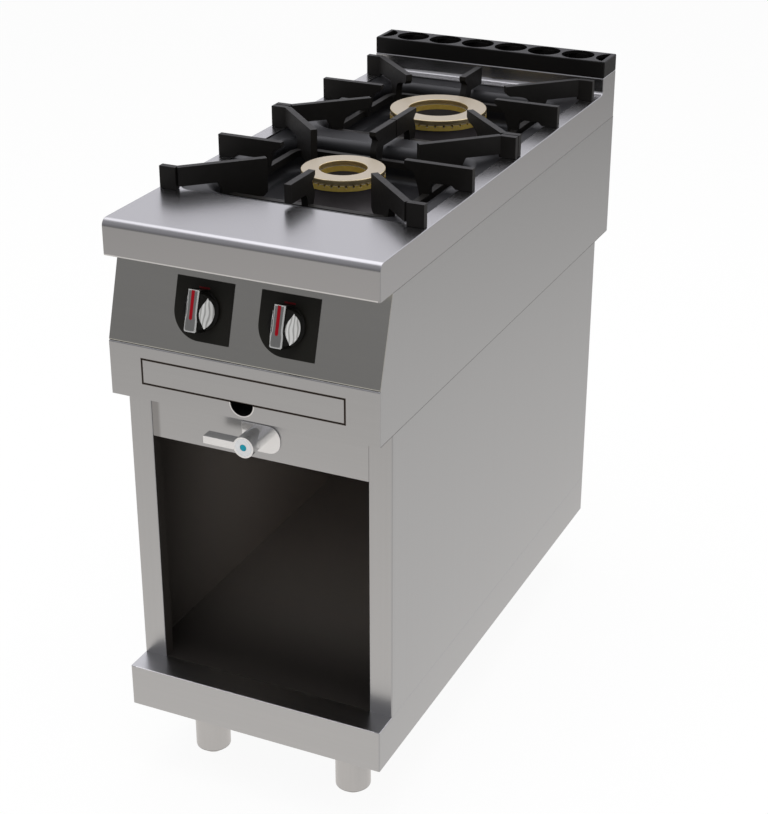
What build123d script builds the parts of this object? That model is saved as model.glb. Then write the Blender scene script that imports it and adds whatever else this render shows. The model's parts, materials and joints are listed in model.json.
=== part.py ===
from build123d import *
from math import atan2, cos, degrees, hypot, radians, sin
import os

os.makedirs("parts", exist_ok=True)

# A gas range with two burners, one behind the other, on an open stand.
# Millimetres. X runs to the right, Y to the back, Z up from the floor.
# The origin is the middle of the range's box, on the floor.

# Overall, from the photograph and the standard 400 x 900 module
range_width = 400.0
range_depth = 900.0

# Heights, stacked from the floor up
foot_gap = 110.0
plinth_height = 65.0
opening_height = 361.0
rail_height = 76.0
fascia_height = 78.0
panel_rise = 120.0
apron_height = 50.0
upstand_height = 27.0

# Depths, from the worktop's front edge
panel_setback = 35.5
panel_lead = 1.5
plinth_lead = 4.5
cabinet_setback = 37.0
flue_depth = 60.0

# Sheet metal
sheet = 1.5
worktop_gauge = 2.0
bend = 2.0
flange = 15.0
seam = 0.2
slide_gap = 0.3

# Worktop
bullnose = 10.6
upstand_foot = 8.0
upstand_edge = 3.0
side_edge = 1.2
flue_mouth_margin = 12.0

# Stand
post_width = 35.0
post_return = 20.0
rail_inset = 1.5
plinth_return = 25.0

# Legs and feet
leg_x = 117.5
leg_y = 85.0
leg_radius = 26.0
leg_wall = 2.0
foot_base_radius = 13.5
foot_chamfer = 10.5
stem_radius = 8.0
stem_clearance = 0.3
stem_length = 68.0
collar_height = 16.0
plug_height = 6.0
bearer_width = 80.0
bearer_gauge = 2.0
bearer_bend = 3.5
bearer_flange = 28.0
leg_bolt_radius = 4.0
leg_bolt_clearance = 0.3
leg_bolt_length = 20.0
leg_bolt_head = 6.5
leg_bolt_head_height = 5.5

# Burners: one over each half of the pan, a little ahead of the middle
burner_lead = 11.0
crown_radius = {"front": 59.0, "rear": 74.5}
centre_radius = {"front": 33.7, "rear": 45.5}
cap_rise = 7.0
cap_thickness = 5.0
cap_edge = 1.0
groove_height = 3.0
groove_inset = 3.0
crown_height = 7.8
spigot_depth = 8.0
spigot_wall = 3.0
web_height = 2.8
spoke_count = 6
spoke_width = 8.0
neck_inset = 3.0
casing_inset = 6.0
skirt_reach = 19.0
skirt_rim = 3.0
burner_wall = 5.0
casing_depth = 42.0
mixer_radius = 17.0
mixer_bore = 12.0
mixer_mouth = 22.0
mixer_mouth_length = 18.0
port_width = 3.0
port_depth = 2.8
port_count = 36

# Pan, between margins at the front and rear of the worktop
pan_width = 350.0
pan_front = 150.0
pan_rear_margin = 82.0
pan_recess = 2.0
pan_corner = 18.0
pan_clearance = 0.8
ledge_width = 5.0
well_width = 294.0
well_web = 62.0
well_depth = 50.0
well_corner = 45.0
well_rim = 14.0
well_floor_radius = 12.0
burner_hole_clearance = 1.5

# Pan supports
grid_height = 32.0
grid_width = 392.0
grid_gap = 2.0
blade = 10.0
corner_plate = 25.0
arch_rise = 5.0
low_ring_half_x = 128.0
low_ring_end_margin = 23.0
low_ring_bar = 10.0
low_ring_drop = 22.0
low_ring_corner = 22.0
finger_tip_x = 82.0
finger_tip_y = 72.0
mid_tip = 95.0
tip_depth = {"front": 48.0, "rear": 16.0}
nose_depth = 12.0
leg_half = 10.0

# Flue cover
cover_height = 25.5
cover_wall = 5.0
cover_edge = 2.0
cover_hole_radius = 26.5
cover_hole_pitch = 58.0
cover_hole_count = 6
cover_end_margin = 7.0
cover_lip_depth = 6.0
cover_lip_gap = 1.0
duct_width = 300.0
duct_window_width = 72.0
duct_window_height = 40.0
duct_window_drop = 60.0

# Control panel, knobs and valves
knob_x = 62.5
knob_drop = 63.0
bezel_gauge = 1.5
bezel_width = 85.0
bezel_up = 40.5
bezel_down = 42.0
bezel_corner = 40.0
spindle_radius = 4.0
spindle_hole_radius = 6.0
spindle_grip = 14.0
knob_height = 30.0
knob_push = 3.0
knob_push_room = 0.5
skirt_radius = 26.5
skirt_height = 2.0
skirt_edge = 1.0
paddle_top = 28.0
paddle_bottom = 27.7
paddle_half_top = 7.85
paddle_half_waist = 7.0
paddle_half_bottom = 9.2
paddle_edge = 1.2
flank_foot = 21.0
flank_head = 9.5
flank_half_length = 27.0
inlay_gauge = 1.2
leaf_half_length = 21.5
leaf_half_width = 10.5
plug_radius = 7.0
plug_front = 14.0
plug_length = 28.0
plug_clearance = 0.06
plug_end_room = 0.5
spindle_depth = 12.0
spindle_flat = 3.0
spindle_clearance = 0.08
spindle_end_room = 2.0
valve_radius = 15.0
valve_front = 11.0
valve_length = 38.0
valve_port_radius = 7.0
valve_port_length = 6.0
valve_bore = 3.0
valve_stub_radius = 8.0
valve_stub_depth = 30.0

# Gas pipes
manifold_radius = 11.0
manifold_wall = 2.0
manifold_drop = 36.0
manifold_left = 95.0
manifold_inlet_run = 25.0
boss_radius = 10.0
boss_rise = 17.0
pipe_radius = 8.0
pipe_bend = 20.0
supply_radius = 5.0
supply_bend = 10.0
supply_rear_x = 100.0
supply_run = 22.0
supply_rise = 14.0
supply_gather = 30.0
inlet_x_from_side = 25.0
inlet_y_from_back = 30.0
thread_radius = 10.48
thread_length = 22.0
hex_radius = 14.0
hex_height = 9.0
injector_radius = 8.0
injector_length = 20.0
injector_nozzle_radius = 4.5
injector_nozzle_length = 8.0
injector_orifice = 1.2
injector_gap = 2.0
injector_setback = 111.0

# Pilot and thermocouple, in the open centre of each burner
sensor_x = 14.0
sensor_bracket_width = 18.0
sensor_bracket_gauge = 2.0
pilot_radius = 4.0
pilot_hood_radius = 6.0
pilot_hood_height = 8.0
pilot_top_drop = 12.0
thermocouple_radius = 2.5
thermocouple_nut_radius = 6.0
thermocouple_nut_height = 4.0
thermocouple_tail = 22.0

# Tap
tap_drop = 41.5
tap_radius = 15.2
tap_reach = 40.0
tap_hub_length = 17.0
tap_shank_radius = 10.0
tap_shank_length = 36.0
tap_hole_clearance = 0.5
tap_nut_radius = 15.0
tap_nut_height = 6.0
tap_stem_radius = 5.0
tap_stem_length = 14.0
tap_stem_clearance = 0.06
lever_reach = 62.0
lever_height = 11.2
lever_edge = 2.0
index_radius = 4.5
index_height = 0.8
index_recess = 0.5
escutcheon_left = 23.0
escutcheon_right = 35.0
escutcheon_up = 18.5
escutcheon_down = 22.5
escutcheon_gauge = 2.0
escutcheon_corner = 18.0
water_pipe_radius = 6.0
water_pipe_x = -120.0
water_pipe_drop = 17.0
water_pipe_run = 35.0
water_pipe_gather = 45.0
water_pipe_end = 24.0
spout_radius = 5.0
spout_bend = 9.0
spout_riser_x = 174.0
spout_tip_x = 138.0
spout_y = 66.0
spout_boss_radius = 7.0
spout_boss_rise = 14.0
spout_run_drop = 15.0
spout_over_tray = 18.0
spout_tip_gap = 6.0
pipe_hole_clearance = 1.5

# Drip tray and its runners
tray_front_width = 300.0
tray_front_height = 34.5
tray_front_low = 24.0
tray_slot_gap = 1.0
notch_radius = 17.0
notch_drop = 2.0
tray_width = 296.0
tray_length = 730.0
tray_height = 28.0
tray_corner = 12.0
runner_ledge = 16.0
runner_guide = 18.0
runner_foot = 8.0

# Screws of the stand's rear sheet
screw_radius = 2.0
screw_clearance = 0.2
screw_head_radius = 4.5
screw_head_height = 2.2
screw_length = 8.0
screw_rows = 4
screw_end_margin = 40.0

# Panel slope
panel_run = panel_setback + panel_lead
panel_tilt = atan2(panel_run, panel_rise)

# The knob's lower front corner stands furthest forward and sets the front of the box
knob_corner_y = (
    panel_setback
    - (knob_drop + paddle_bottom - seam) * sin(panel_tilt)
    - knob_height * cos(panel_tilt)
)
knob_reach = -knob_corner_y

# Levels and lines of the range
half = range_width / 2
front = (knob_reach - range_depth) / 2
back = front + range_depth
z_plinth = foot_gap
z_stand = z_plinth + plinth_height
z_rail = z_stand + opening_height
z_house = z_rail + rail_height
z_panel = z_house + fascia_height
z_apron = z_panel + panel_rise
z_top = z_apron + apron_height
z_upstand = z_top + upstand_height
y_plinth = front - plinth_lead
y_cabinet = front + cabinet_setback
y_house = front - panel_lead
y_flue = back - flue_depth
y_cabinet_back = y_flue
pan_length = range_depth - pan_front - pan_rear_margin
burner_pitch = pan_length / 2
burner_front_y = pan_front + burner_pitch / 2 - burner_lead
burner_y = {"front": front + burner_front_y, "rear": front + burner_front_y + burner_pitch}
injector_span = injector_length + injector_nozzle_length + injector_gap
mixer_reach = burner_front_y - injector_setback - injector_span
well_length = burner_pitch - well_web
grid_length = burner_pitch - grid_gap
low_ring_half_y = well_length / 2 - low_ring_end_margin
sides = {"left": -1, "right": 1}
gas_inlet_x = half - inlet_x_from_side
manifold_right = gas_inlet_x - manifold_inlet_run
gas_inlet_y = back - inlet_y_from_back


# Planes to draw on
def level(z):
    """Horizontal plane, drawn on in X and Y."""
    return Plane.XY.offset(z)


def facing_front(y):
    """Upright plane, drawn on in X and Z, whose positive side is the front."""
    return Plane(origin=(0, y, 0), x_dir=(1, 0, 0), z_dir=(0, -1, 0))


def side_on(x):
    """Upright plane, drawn on in Y and Z, whose positive side is the right."""
    return Plane(origin=(x, 0, 0), x_dir=(0, 1, 0), z_dir=(1, 0, 0))


panel_normal = (0, -cos(panel_tilt), sin(panel_tilt))


def on_panel(x, rise=0.0):
    """Plane on the knob's axis at x, raised off the panel; its y axis runs up the slope."""
    y = front + panel_setback - knob_drop * sin(panel_tilt) - rise * cos(panel_tilt)
    z = z_apron - knob_drop * cos(panel_tilt) + rise * sin(panel_tilt)
    return Plane(origin=(x, y, z), x_dir=(1, 0, 0), z_dir=panel_normal)


def off_panel(x, rise):
    """Point on the knob's axis at x, raised off the panel."""
    return on_panel(x, rise).origin


# Shapes that come back
def fold(points, inside, gauge=sheet, outer_bend=bend):
    """Section of a sheet folded along its outer face, with its thickness on the inside."""
    with BuildLine() as section:
        FilletPolyline(*points, radius=outer_bend)
        offset(amount=gauge, side=inside)
    make_face(section.edges())


def pipe(points, radius, turn):
    """Round pipe along straight runs joined by bends."""
    with BuildLine() as route:
        FilletPolyline(*points, radius=turn)
    start = Vector(*points[0])
    with BuildSketch(Plane(origin=start, z_dir=Vector(*points[1]) - start)) as bore:
        Circle(radius)
    sweep(sections=bore.sketch, path=route.line)


def disc(plane, radius, height, mode=Mode.ADD):
    """Round disc or post that rises from a plane."""
    with BuildSketch(plane) as outline:
        Circle(radius)
    extrude(outline.sketch, amount=height, mode=mode)


def turned(y, points):
    """Solid turned about a burner's axis, from a closed outline in radius and height."""
    with BuildSketch(facing_front(y)) as outline:
        with BuildLine():
            Polyline(*points, close=True)
        make_face()
    revolve(outline.sketch, axis=Axis((0, y, 0), (0, 0, 1)))


# Plinth: a tray turned upside down, with a return around its open bottom
plinth_length = y_cabinet_back - y_plinth
plinth_middle = (y_cabinet_back + y_plinth) / 2
with BuildPart() as plinth:
    with BuildSketch(level(z_plinth)):
        with Locations((0, plinth_middle)):
            RectangleRounded(range_width, plinth_length, bend)
    extrude(amount=plinth_height)
    fillet(plinth.faces().sort_by(Axis.Z)[-1].edges(), radius=bend / 2)
    offset(amount=-sheet, openings=plinth.faces().sort_by(Axis.Z)[0])
    with BuildSketch(level(z_plinth)):
        with Locations((0, plinth_middle)):
            Rectangle(range_width - sheet, plinth_length - sheet)
            Rectangle(range_width - 2 * plinth_return, plinth_length - 2 * plinth_return, mode=Mode.SUBTRACT)
    extrude(amount=sheet)
plinth.part.label = "plinth"
export_step(plinth.part, "parts/plinth.step")

# Leg places, the same for bearers, sleeves, bolts and feet
leg_rows = {"front": y_plinth + leg_y, "rear": y_cabinet_back - leg_y}
leg_places = [(side * leg_x, y) for y in leg_rows.values() for side in sides.values()]
z_bearer = z_plinth + sheet
bearer_length = range_width - 2 * (sheet + seam)

# Leg bearers: channels across the plinth, on its bottom returns
with BuildPart() as leg_bearers:
    for y in leg_rows.values():
        with BuildSketch(side_on(-bearer_length / 2)):
            fold(
                [
                    (y - bearer_width / 2, z_bearer + bearer_flange),
                    (y - bearer_width / 2, z_bearer),
                    (y + bearer_width / 2, z_bearer),
                    (y + bearer_width / 2, z_bearer + bearer_flange),
                ],
                Side.LEFT,
                bearer_gauge,
                bearer_bend,
            )
        extrude(amount=bearer_length)
    with BuildSketch(level(z_bearer)):
        with Locations(*leg_places):
            Circle(leg_bolt_radius + leg_bolt_clearance)
    extrude(amount=bearer_gauge, mode=Mode.SUBTRACT)
leg_bearers.part.label = "leg_bearers"
export_step(leg_bearers.part, "parts/leg_bearers.step")

# Leg sleeves: a tube with a collar for the foot's stem and a plug for the bolt
z_sleeve = foot_chamfer + slide_gap
with BuildPart() as leg_sleeves:
    with BuildSketch(level(z_sleeve)):
        with Locations(*leg_places):
            Circle(leg_radius)
    extrude(amount=z_bearer - z_sleeve)
    with BuildSketch(level(z_sleeve + collar_height)):
        with Locations(*leg_places):
            Circle(leg_radius - leg_wall)
    extrude(amount=z_bearer - plug_height - z_sleeve - collar_height, mode=Mode.SUBTRACT)
    with BuildSketch(level(z_sleeve)):
        with Locations(*leg_places):
            Circle(stem_radius + stem_clearance)
    extrude(amount=collar_height, mode=Mode.SUBTRACT)
    with BuildSketch(level(z_bearer)):
        with Locations(*leg_places):
            Circle(leg_bolt_radius + leg_bolt_clearance)
    extrude(amount=-plug_height, mode=Mode.SUBTRACT)
leg_sleeves.part.label = "leg_sleeves"
export_step(leg_sleeves.part, "parts/leg_sleeves.step")

# Leg bolts, from inside the bearers down through the sleeves' plugs
z_web = z_bearer + bearer_gauge
with BuildPart() as leg_bolts:
    with BuildSketch(level(z_web)):
        with Locations(*leg_places):
            RegularPolygon(leg_bolt_head, 6, major_radius=False)
    extrude(amount=leg_bolt_head_height)
    with BuildSketch(level(z_web)):
        with Locations(*leg_places):
            Circle(leg_bolt_radius)
    extrude(amount=-leg_bolt_length)
leg_bolts.part.label = "leg_bolts"
export_step(leg_bolts.part, "parts/leg_bolts.step")

# Feet: a chamfered pad under a screwed stem
for row, y in leg_rows.items():
    for name, side in sides.items():
        with BuildPart() as foot:
            with BuildSketch(Plane(origin=(side * leg_x, y, 0), x_dir=(1, 0, 0), z_dir=(0, -1, 0))):
                with BuildLine():
                    Polyline(
                        (0, 0),
                        (foot_base_radius, 0),
                        (leg_radius, foot_chamfer),
                        (stem_radius, foot_chamfer),
                        (stem_radius, foot_chamfer + stem_length),
                        (0, foot_chamfer + stem_length),
                        close=True,
                    )
                make_face()
            revolve(axis=Axis((side * leg_x, y, 0), (0, 0, 1)))
        foot.part.label = f"foot_{row}_{name}"
        export_step(foot.part, f"parts/foot_{row}_{name}.step")

# Stand sides: the side sheet turns into the front post and a flange for the rear sheet
screw_x = half - flange / 2 - sheet / 2
screw_pitch = (z_house - z_stand - 2 * screw_end_margin) / (screw_rows - 1)
screw_levels = [z_stand + screw_end_margin + row * screw_pitch for row in range(screw_rows)]
screw_places = [(side * screw_x, z) for side in sides.values() for z in screw_levels]
for name, side in sides.items():
    with BuildPart() as cabinet_side:
        with BuildSketch(level(z_stand)):
            fold(
                [
                    (side * (half - post_width), y_cabinet + post_return),
                    (side * (half - post_width), y_cabinet),
                    (side * half, y_cabinet),
                    (side * half, y_cabinet_back),
                    (side * (half - flange), y_cabinet_back),
                ],
                Side.LEFT if side > 0 else Side.RIGHT,
            )
        extrude(amount=z_house - z_stand)
        with BuildSketch(facing_front(y_cabinet_back)):
            with Locations(*[place for place in screw_places if place[0] * side > 0]):
                Circle(screw_radius + screw_clearance)
        extrude(amount=sheet, mode=Mode.SUBTRACT)
    cabinet_side.part.label = f"cabinet_side_{name}"
    export_step(cabinet_side.part, f"parts/cabinet_side_{name}.step")

# Rail over the opening, with the tap's hole
y_rail = y_cabinet + rail_inset
z_tap = z_house - tap_drop
with BuildPart() as cabinet_rail:
    with BuildSketch(side_on(seam + post_width - half)):
        fold(
            [
                (y_rail + flange, z_rail),
                (y_rail, z_rail),
                (y_rail, z_house),
                (y_rail + flange, z_house),
            ],
            Side.RIGHT,
        )
    extrude(amount=range_width - 2 * (post_width + seam))
    with BuildSketch(facing_front(y_rail + sheet)):
        with Locations((0, z_tap)):
            Circle(tap_shank_radius + tap_hole_clearance)
    extrude(amount=sheet, mode=Mode.SUBTRACT)
cabinet_rail.part.label = "cabinet_rail"
export_step(cabinet_rail.part, "parts/cabinet_rail.step")

# Rear sheet of the stand, inside the sides' flanges
y_rear_sheet = y_cabinet_back - sheet
z_water = z_house - water_pipe_drop
with BuildPart() as cabinet_back:
    with BuildSketch(facing_front(y_rear_sheet)):
        with Locations((0, (z_stand + z_house) / 2)):
            Rectangle(range_width - 2 * (bend + seam), z_house - z_stand)
        with Locations((water_pipe_x, z_water)):
            Circle(water_pipe_radius + pipe_hole_clearance, mode=Mode.SUBTRACT)
        with Locations(*screw_places):
            Circle(screw_radius + screw_clearance, mode=Mode.SUBTRACT)
    extrude(amount=sheet)
cabinet_back.part.label = "cabinet_back"
export_step(cabinet_back.part, "parts/cabinet_back.step")

# Screws of the rear sheet, heads outside
with BuildPart() as back_screws:
    with BuildSketch(facing_front(y_cabinet_back)):
        with Locations(*screw_places):
            Circle(screw_head_radius)
    extrude(amount=-screw_head_height)
    fillet(back_screws.edges().group_by(Axis.Y)[-1], radius=screw_head_height / 2)
    with BuildSketch(facing_front(y_cabinet_back)):
        with Locations(*screw_places):
            Circle(screw_radius)
    extrude(amount=screw_length)
back_screws.part.label = "back_screws"
export_step(back_screws.part, "parts/back_screws.step")

# Floor of the burner housing, which also closes its front and rear overhangs
y_floor_front = y_house + sheet + seam
y_floor_back = back - sheet - seam
with BuildPart() as housing_floor:
    with BuildSketch(level(z_house)):
        with Locations((0, (y_floor_front + y_floor_back) / 2)):
            Rectangle(range_width - 2 * (sheet + seam), y_floor_back - y_floor_front)
        with Locations((gas_inlet_x, gas_inlet_y)):
            Circle(pipe_radius + pipe_hole_clearance, mode=Mode.SUBTRACT)
        with Locations((spout_riser_x, front + spout_y)):
            Circle(spout_radius + pipe_hole_clearance, mode=Mode.SUBTRACT)
    extrude(amount=sheet)
housing_floor.part.label = "housing_floor"
export_step(housing_floor.part, "parts/housing_floor.step")

# Housing sides: cut to the panel's slope, with a flange under the worktop's skirt
slope_shift = (sheet + seam) / cos(panel_tilt)
y_flange_front = front + panel_setback + 2 * flange
y_flange_back = back - flange


def housing_outline():
    """Side view of the housing behind its front sheets."""
    with BuildLine() as outline:
        Polyline(
            (y_house + sheet + seam, z_house),
            (y_house + sheet + seam, z_panel),
            (y_house + slope_shift, z_panel),
            (front + panel_setback + slope_shift, z_apron),
            (back, z_apron),
            (back, z_house),
            close=True,
        )
    make_face(outline.edges())


for name, side in sides.items():
    with BuildPart() as housing_side:
        with BuildSketch(side_on(side * half)):
            housing_outline()
        extrude(amount=-side * sheet)
        with BuildSketch(level(z_apron)):
            with Locations((side * (half - flange / 2), (y_flange_front + y_flange_back) / 2)):
                Rectangle(flange, y_flange_back - y_flange_front)
        extrude(amount=-sheet)
    housing_side.part.label = f"housing_side_{name}"
    export_step(housing_side.part, f"parts/housing_side_{name}.step")

# Rear sheet of the housing
with BuildPart() as housing_back:
    with BuildSketch(facing_front(back)):
        with Locations((0, (z_house + z_apron) / 2)):
            Rectangle(range_width - 2 * (sheet + seam), z_apron - z_house)
    extrude(amount=sheet)
housing_back.part.label = "housing_back"
export_step(housing_back.part, "parts/housing_back.step")

# Control panel, folded top and bottom, with the spindle holes
with BuildPart() as control_panel:
    with BuildSketch(side_on(-half)):
        fold(
            [
                (front + panel_setback + flange, z_apron),
                (front + panel_setback, z_apron),
                (y_house, z_panel),
                (y_house + flange, z_panel),
            ],
            Side.LEFT,
        )
    extrude(amount=range_width)
    for side in sides.values():
        with BuildSketch(on_panel(side * knob_x)):
            Circle(spindle_hole_radius)
        extrude(amount=-2 * sheet, mode=Mode.SUBTRACT)
        # The flanges stop short of the housing's sides
        with BuildSketch(side_on(side * half)):
            housing_outline()
        extrude(amount=-side * (sheet + seam), mode=Mode.SUBTRACT)
control_panel.part.label = "control_panel"
export_step(control_panel.part, "parts/control_panel.step")

# Fascia under the panel, with the drip tray's slot and the finger notch below it
z_tray_front = z_house + tray_front_low
with BuildPart() as tray_fascia:
    with BuildSketch(side_on(-half)):
        fold(
            [
                (y_house, z_house),
                (y_house, z_panel),
                (y_house + flange, z_panel),
            ],
            Side.RIGHT,
        )
    extrude(amount=range_width)
    with BuildSketch(facing_front(y_house + sheet)):
        with Locations((0, z_tray_front + tray_front_height / 2)):
            Rectangle(tray_front_width + 2 * tray_slot_gap, tray_front_height + 2 * tray_slot_gap)
        with Locations((0, z_tray_front - notch_drop)):
            Circle(notch_radius)
    extrude(amount=sheet, mode=Mode.SUBTRACT)
    for side in sides.values():
        with BuildSketch(side_on(side * half)):
            housing_outline()
        extrude(amount=-side * (sheet + seam), mode=Mode.SUBTRACT)
tray_fascia.part.label = "tray_fascia"
export_step(tray_fascia.part, "parts/tray_fascia.step")

# Flue duct: a U of sheet from the floor to the worktop, with windows for the burnt gas
z_floor_top = z_house + sheet
y_duct_back = back - worktop_gauge - seam
window_pitch = duct_width / 3
with BuildPart() as flue_duct:
    with BuildSketch(level(z_floor_top)):
        fold(
            [
                (duct_width / 2, y_duct_back),
                (duct_width / 2, y_flue),
                (-duct_width / 2, y_flue),
                (-duct_width / 2, y_duct_back),
            ],
            Side.LEFT,
        )
    extrude(amount=z_top - worktop_gauge - z_floor_top)
    with BuildSketch(facing_front(y_flue + sheet)):
        with Locations((0, z_apron - duct_window_drop)):
            with GridLocations(window_pitch, 1, 3, 1):
                Rectangle(duct_window_width, duct_window_height)
    extrude(amount=2 * sheet, mode=Mode.SUBTRACT)
flue_duct.part.label = "flue_duct"
export_step(flue_duct.part, "parts/flue_duct.step")

# Worktop: bullnose front, skirts, rear upstand, and a recessed ledge for the pan
y_pan = front + pan_front + pan_length / 2
z_pan = z_top - pan_recess
z_ledge = z_pan - sheet
recess_width = pan_width + 2 * pan_clearance
recess_length = pan_length + 2 * pan_clearance
with BuildPart() as worktop:
    with BuildSketch(Plane.YZ) as worktop_outline:
        with BuildLine():
            FilletPolyline(
                (front, z_apron),
                (front, z_top),
                (y_flue, z_top),
                (y_flue, z_upstand),
                (back, z_upstand),
                (back, z_apron),
                radius=[bullnose, upstand_foot, upstand_edge, upstand_edge],
            )
            Line((back, z_apron), (front, z_apron))
        make_face()
    extrude(amount=half, both=True)
    side_lines = worktop.faces().filter_by(Plane.YZ).edges()
    fillet(side_lines.filter_by(lambda line: line.center().Z > z_apron + 1), radius=side_edge)
    with BuildSketch(Plane.YZ):
        add(worktop_outline.sketch_local)
        offset(amount=-worktop_gauge)
    extrude(amount=half - worktop_gauge, both=True, mode=Mode.SUBTRACT)
    with BuildSketch(level(z_apron)):
        with Locations((0, (front + panel_setback + seam + back - worktop_gauge) / 2)):
            Rectangle(range_width - 2 * flange, range_depth - panel_setback - seam - worktop_gauge)
    extrude(amount=worktop_gauge, mode=Mode.SUBTRACT)
    with BuildSketch(level(z_upstand)):
        with Locations((0, back - flue_depth / 2)):
            Rectangle(range_width - 2 * flue_mouth_margin, flue_depth - 2 * flue_mouth_margin)
    extrude(amount=-worktop_gauge, mode=Mode.SUBTRACT)
    with BuildSketch(level(z_ledge - worktop_gauge)):
        with Locations((0, y_pan)):
            RectangleRounded(
                recess_width + 2 * worktop_gauge,
                recess_length + 2 * worktop_gauge,
                pan_corner + pan_clearance + worktop_gauge,
            )
    extrude(amount=z_top - z_ledge)
    with BuildSketch(level(z_ledge)):
        with Locations((0, y_pan)):
            RectangleRounded(recess_width, recess_length, pan_corner + pan_clearance)
    extrude(amount=z_top - z_ledge, mode=Mode.SUBTRACT)
    with BuildSketch(level(z_ledge)):
        with Locations((0, y_pan)):
            RectangleRounded(
                pan_width - 2 * ledge_width,
                pan_length - 2 * ledge_width,
                pan_corner - ledge_width,
            )
    extrude(amount=-worktop_gauge, mode=Mode.SUBTRACT)
worktop.part.label = "worktop"
export_step(worktop.part, "parts/worktop.step")

# Pan: one pressed sheet with a flared well around each burner
z_well = z_pan - well_depth
casing_radius = {place: radius - casing_inset for place, radius in crown_radius.items()}
well_places = [(0, y) for y in burner_y.values()]
with BuildPart() as well_hollow:
    with BuildSketch(level(z_pan)):
        with Locations(*well_places):
            RectangleRounded(well_width, well_length, well_corner)
    extrude(amount=-well_depth)
    fillet(well_hollow.edges().group_by(Axis.Z)[0], radius=well_floor_radius)


def around_wells(lines, reach):
    """The lines that run around the wells, and not around the pan's own edge."""
    near_x = well_width / 2 + reach
    near_y = (well_length + burner_pitch) / 2 + reach
    return [line for line in lines if abs(line.center().X) < near_x and abs(line.center().Y - y_pan) < near_y]


with BuildPart() as burner_pan:
    with BuildSketch(level(z_ledge)):
        with Locations((0, y_pan)):
            RectangleRounded(pan_width, pan_length, pan_corner)
    extrude(amount=sheet)
    with BuildSketch(level(z_ledge)):
        with Locations(*well_places):
            RectangleRounded(well_width + 2 * sheet, well_length + 2 * sheet, well_corner + sheet)
    extrude(amount=-well_depth)
    under_lines = burner_pan.edges().filter_by_position(Axis.Z, z_ledge, z_ledge)
    fillet(around_wells(under_lines, 2 * sheet), radius=well_rim - sheet)
    fillet(burner_pan.edges().group_by(Axis.Z)[0], radius=well_floor_radius + sheet)
    add(well_hollow.part, mode=Mode.SUBTRACT)
    rim_lines = burner_pan.edges().filter_by_position(Axis.Z, z_pan, z_pan)
    fillet(around_wells(rim_lines, 2 * sheet), radius=well_rim)
    for place, y in burner_y.items():
        with BuildSketch(level(z_well)):
            with Locations((0, y)):
                Circle(casing_radius[place] + burner_hole_clearance)
        extrude(amount=-2 * sheet, mode=Mode.SUBTRACT)
burner_pan.part.label = "burner_pan"
export_step(burner_pan.part, "parts/burner_pan.step")

# Runners of the drip tray: a foot, a guide and the ledge that the tray slides on
tray_half = tray_width / 2
y_tray = y_house + sheet
z_runner = z_tray_front + sheet
with BuildPart() as tray_runners:
    for side in sides.values():
        guide_x = tray_half + slide_gap + sheet
        with BuildSketch(facing_front(y_tray + seam)):
            with BuildLine():
                Polyline(
                    (side * (guide_x + runner_foot), z_floor_top),
                    (side * (guide_x + runner_foot), z_floor_top + sheet),
                    (side * (guide_x + sheet), z_floor_top + sheet),
                    (side * (guide_x + sheet), z_runner + runner_guide),
                    (side * guide_x, z_runner + runner_guide),
                    (side * guide_x, z_runner),
                    (side * (guide_x - runner_ledge), z_runner),
                    (side * (guide_x - runner_ledge), z_runner - sheet),
                    (side * guide_x, z_runner - sheet),
                    (side * guide_x, z_floor_top),
                    close=True,
                )
            make_face()
        extrude(amount=-(tray_length + flange))
tray_runners.part.label = "tray_runners"
export_step(tray_runners.part, "parts/tray_runners.step")

# Drip tray: a shallow pan with rounded corners
z_tray = z_runner + slide_gap
with BuildPart() as drip_tray:
    with BuildSketch(level(z_tray)):
        with Locations((0, y_tray + tray_length / 2)):
            RectangleRounded(tray_width, tray_length, tray_corner)
    extrude(amount=tray_height)
    fillet(drip_tray.faces().sort_by(Axis.Z)[0].edges(), radius=tray_corner / 2)
    offset(amount=-sheet, openings=drip_tray.faces().sort_by(Axis.Z)[-1])
drip_tray.part.label = "drip_tray"
export_step(drip_tray.part, "parts/drip_tray.step")

# Front of the drip tray, flush with the fascia
with BuildPart() as drip_tray_front:
    with BuildSketch(facing_front(y_tray)):
        with Locations((0, z_tray_front + tray_front_height / 2)):
            Rectangle(tray_front_width, tray_front_height)
    extrude(amount=sheet)
drip_tray_front.part.label = "drip_tray_front"
export_step(drip_tray_front.part, "parts/drip_tray_front.step")

# Burner levels, from the cap down
z_cap_top = z_top + cap_rise
z_cap = z_cap_top - cap_thickness
z_crown_top = z_cap - groove_height
z_crown = z_crown_top - crown_height
z_neck = z_crown - seam
z_casing = z_well - casing_depth
z_mixer = (z_casing + z_well - sheet) / 2
channel_floor = z_casing + burner_wall

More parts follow.
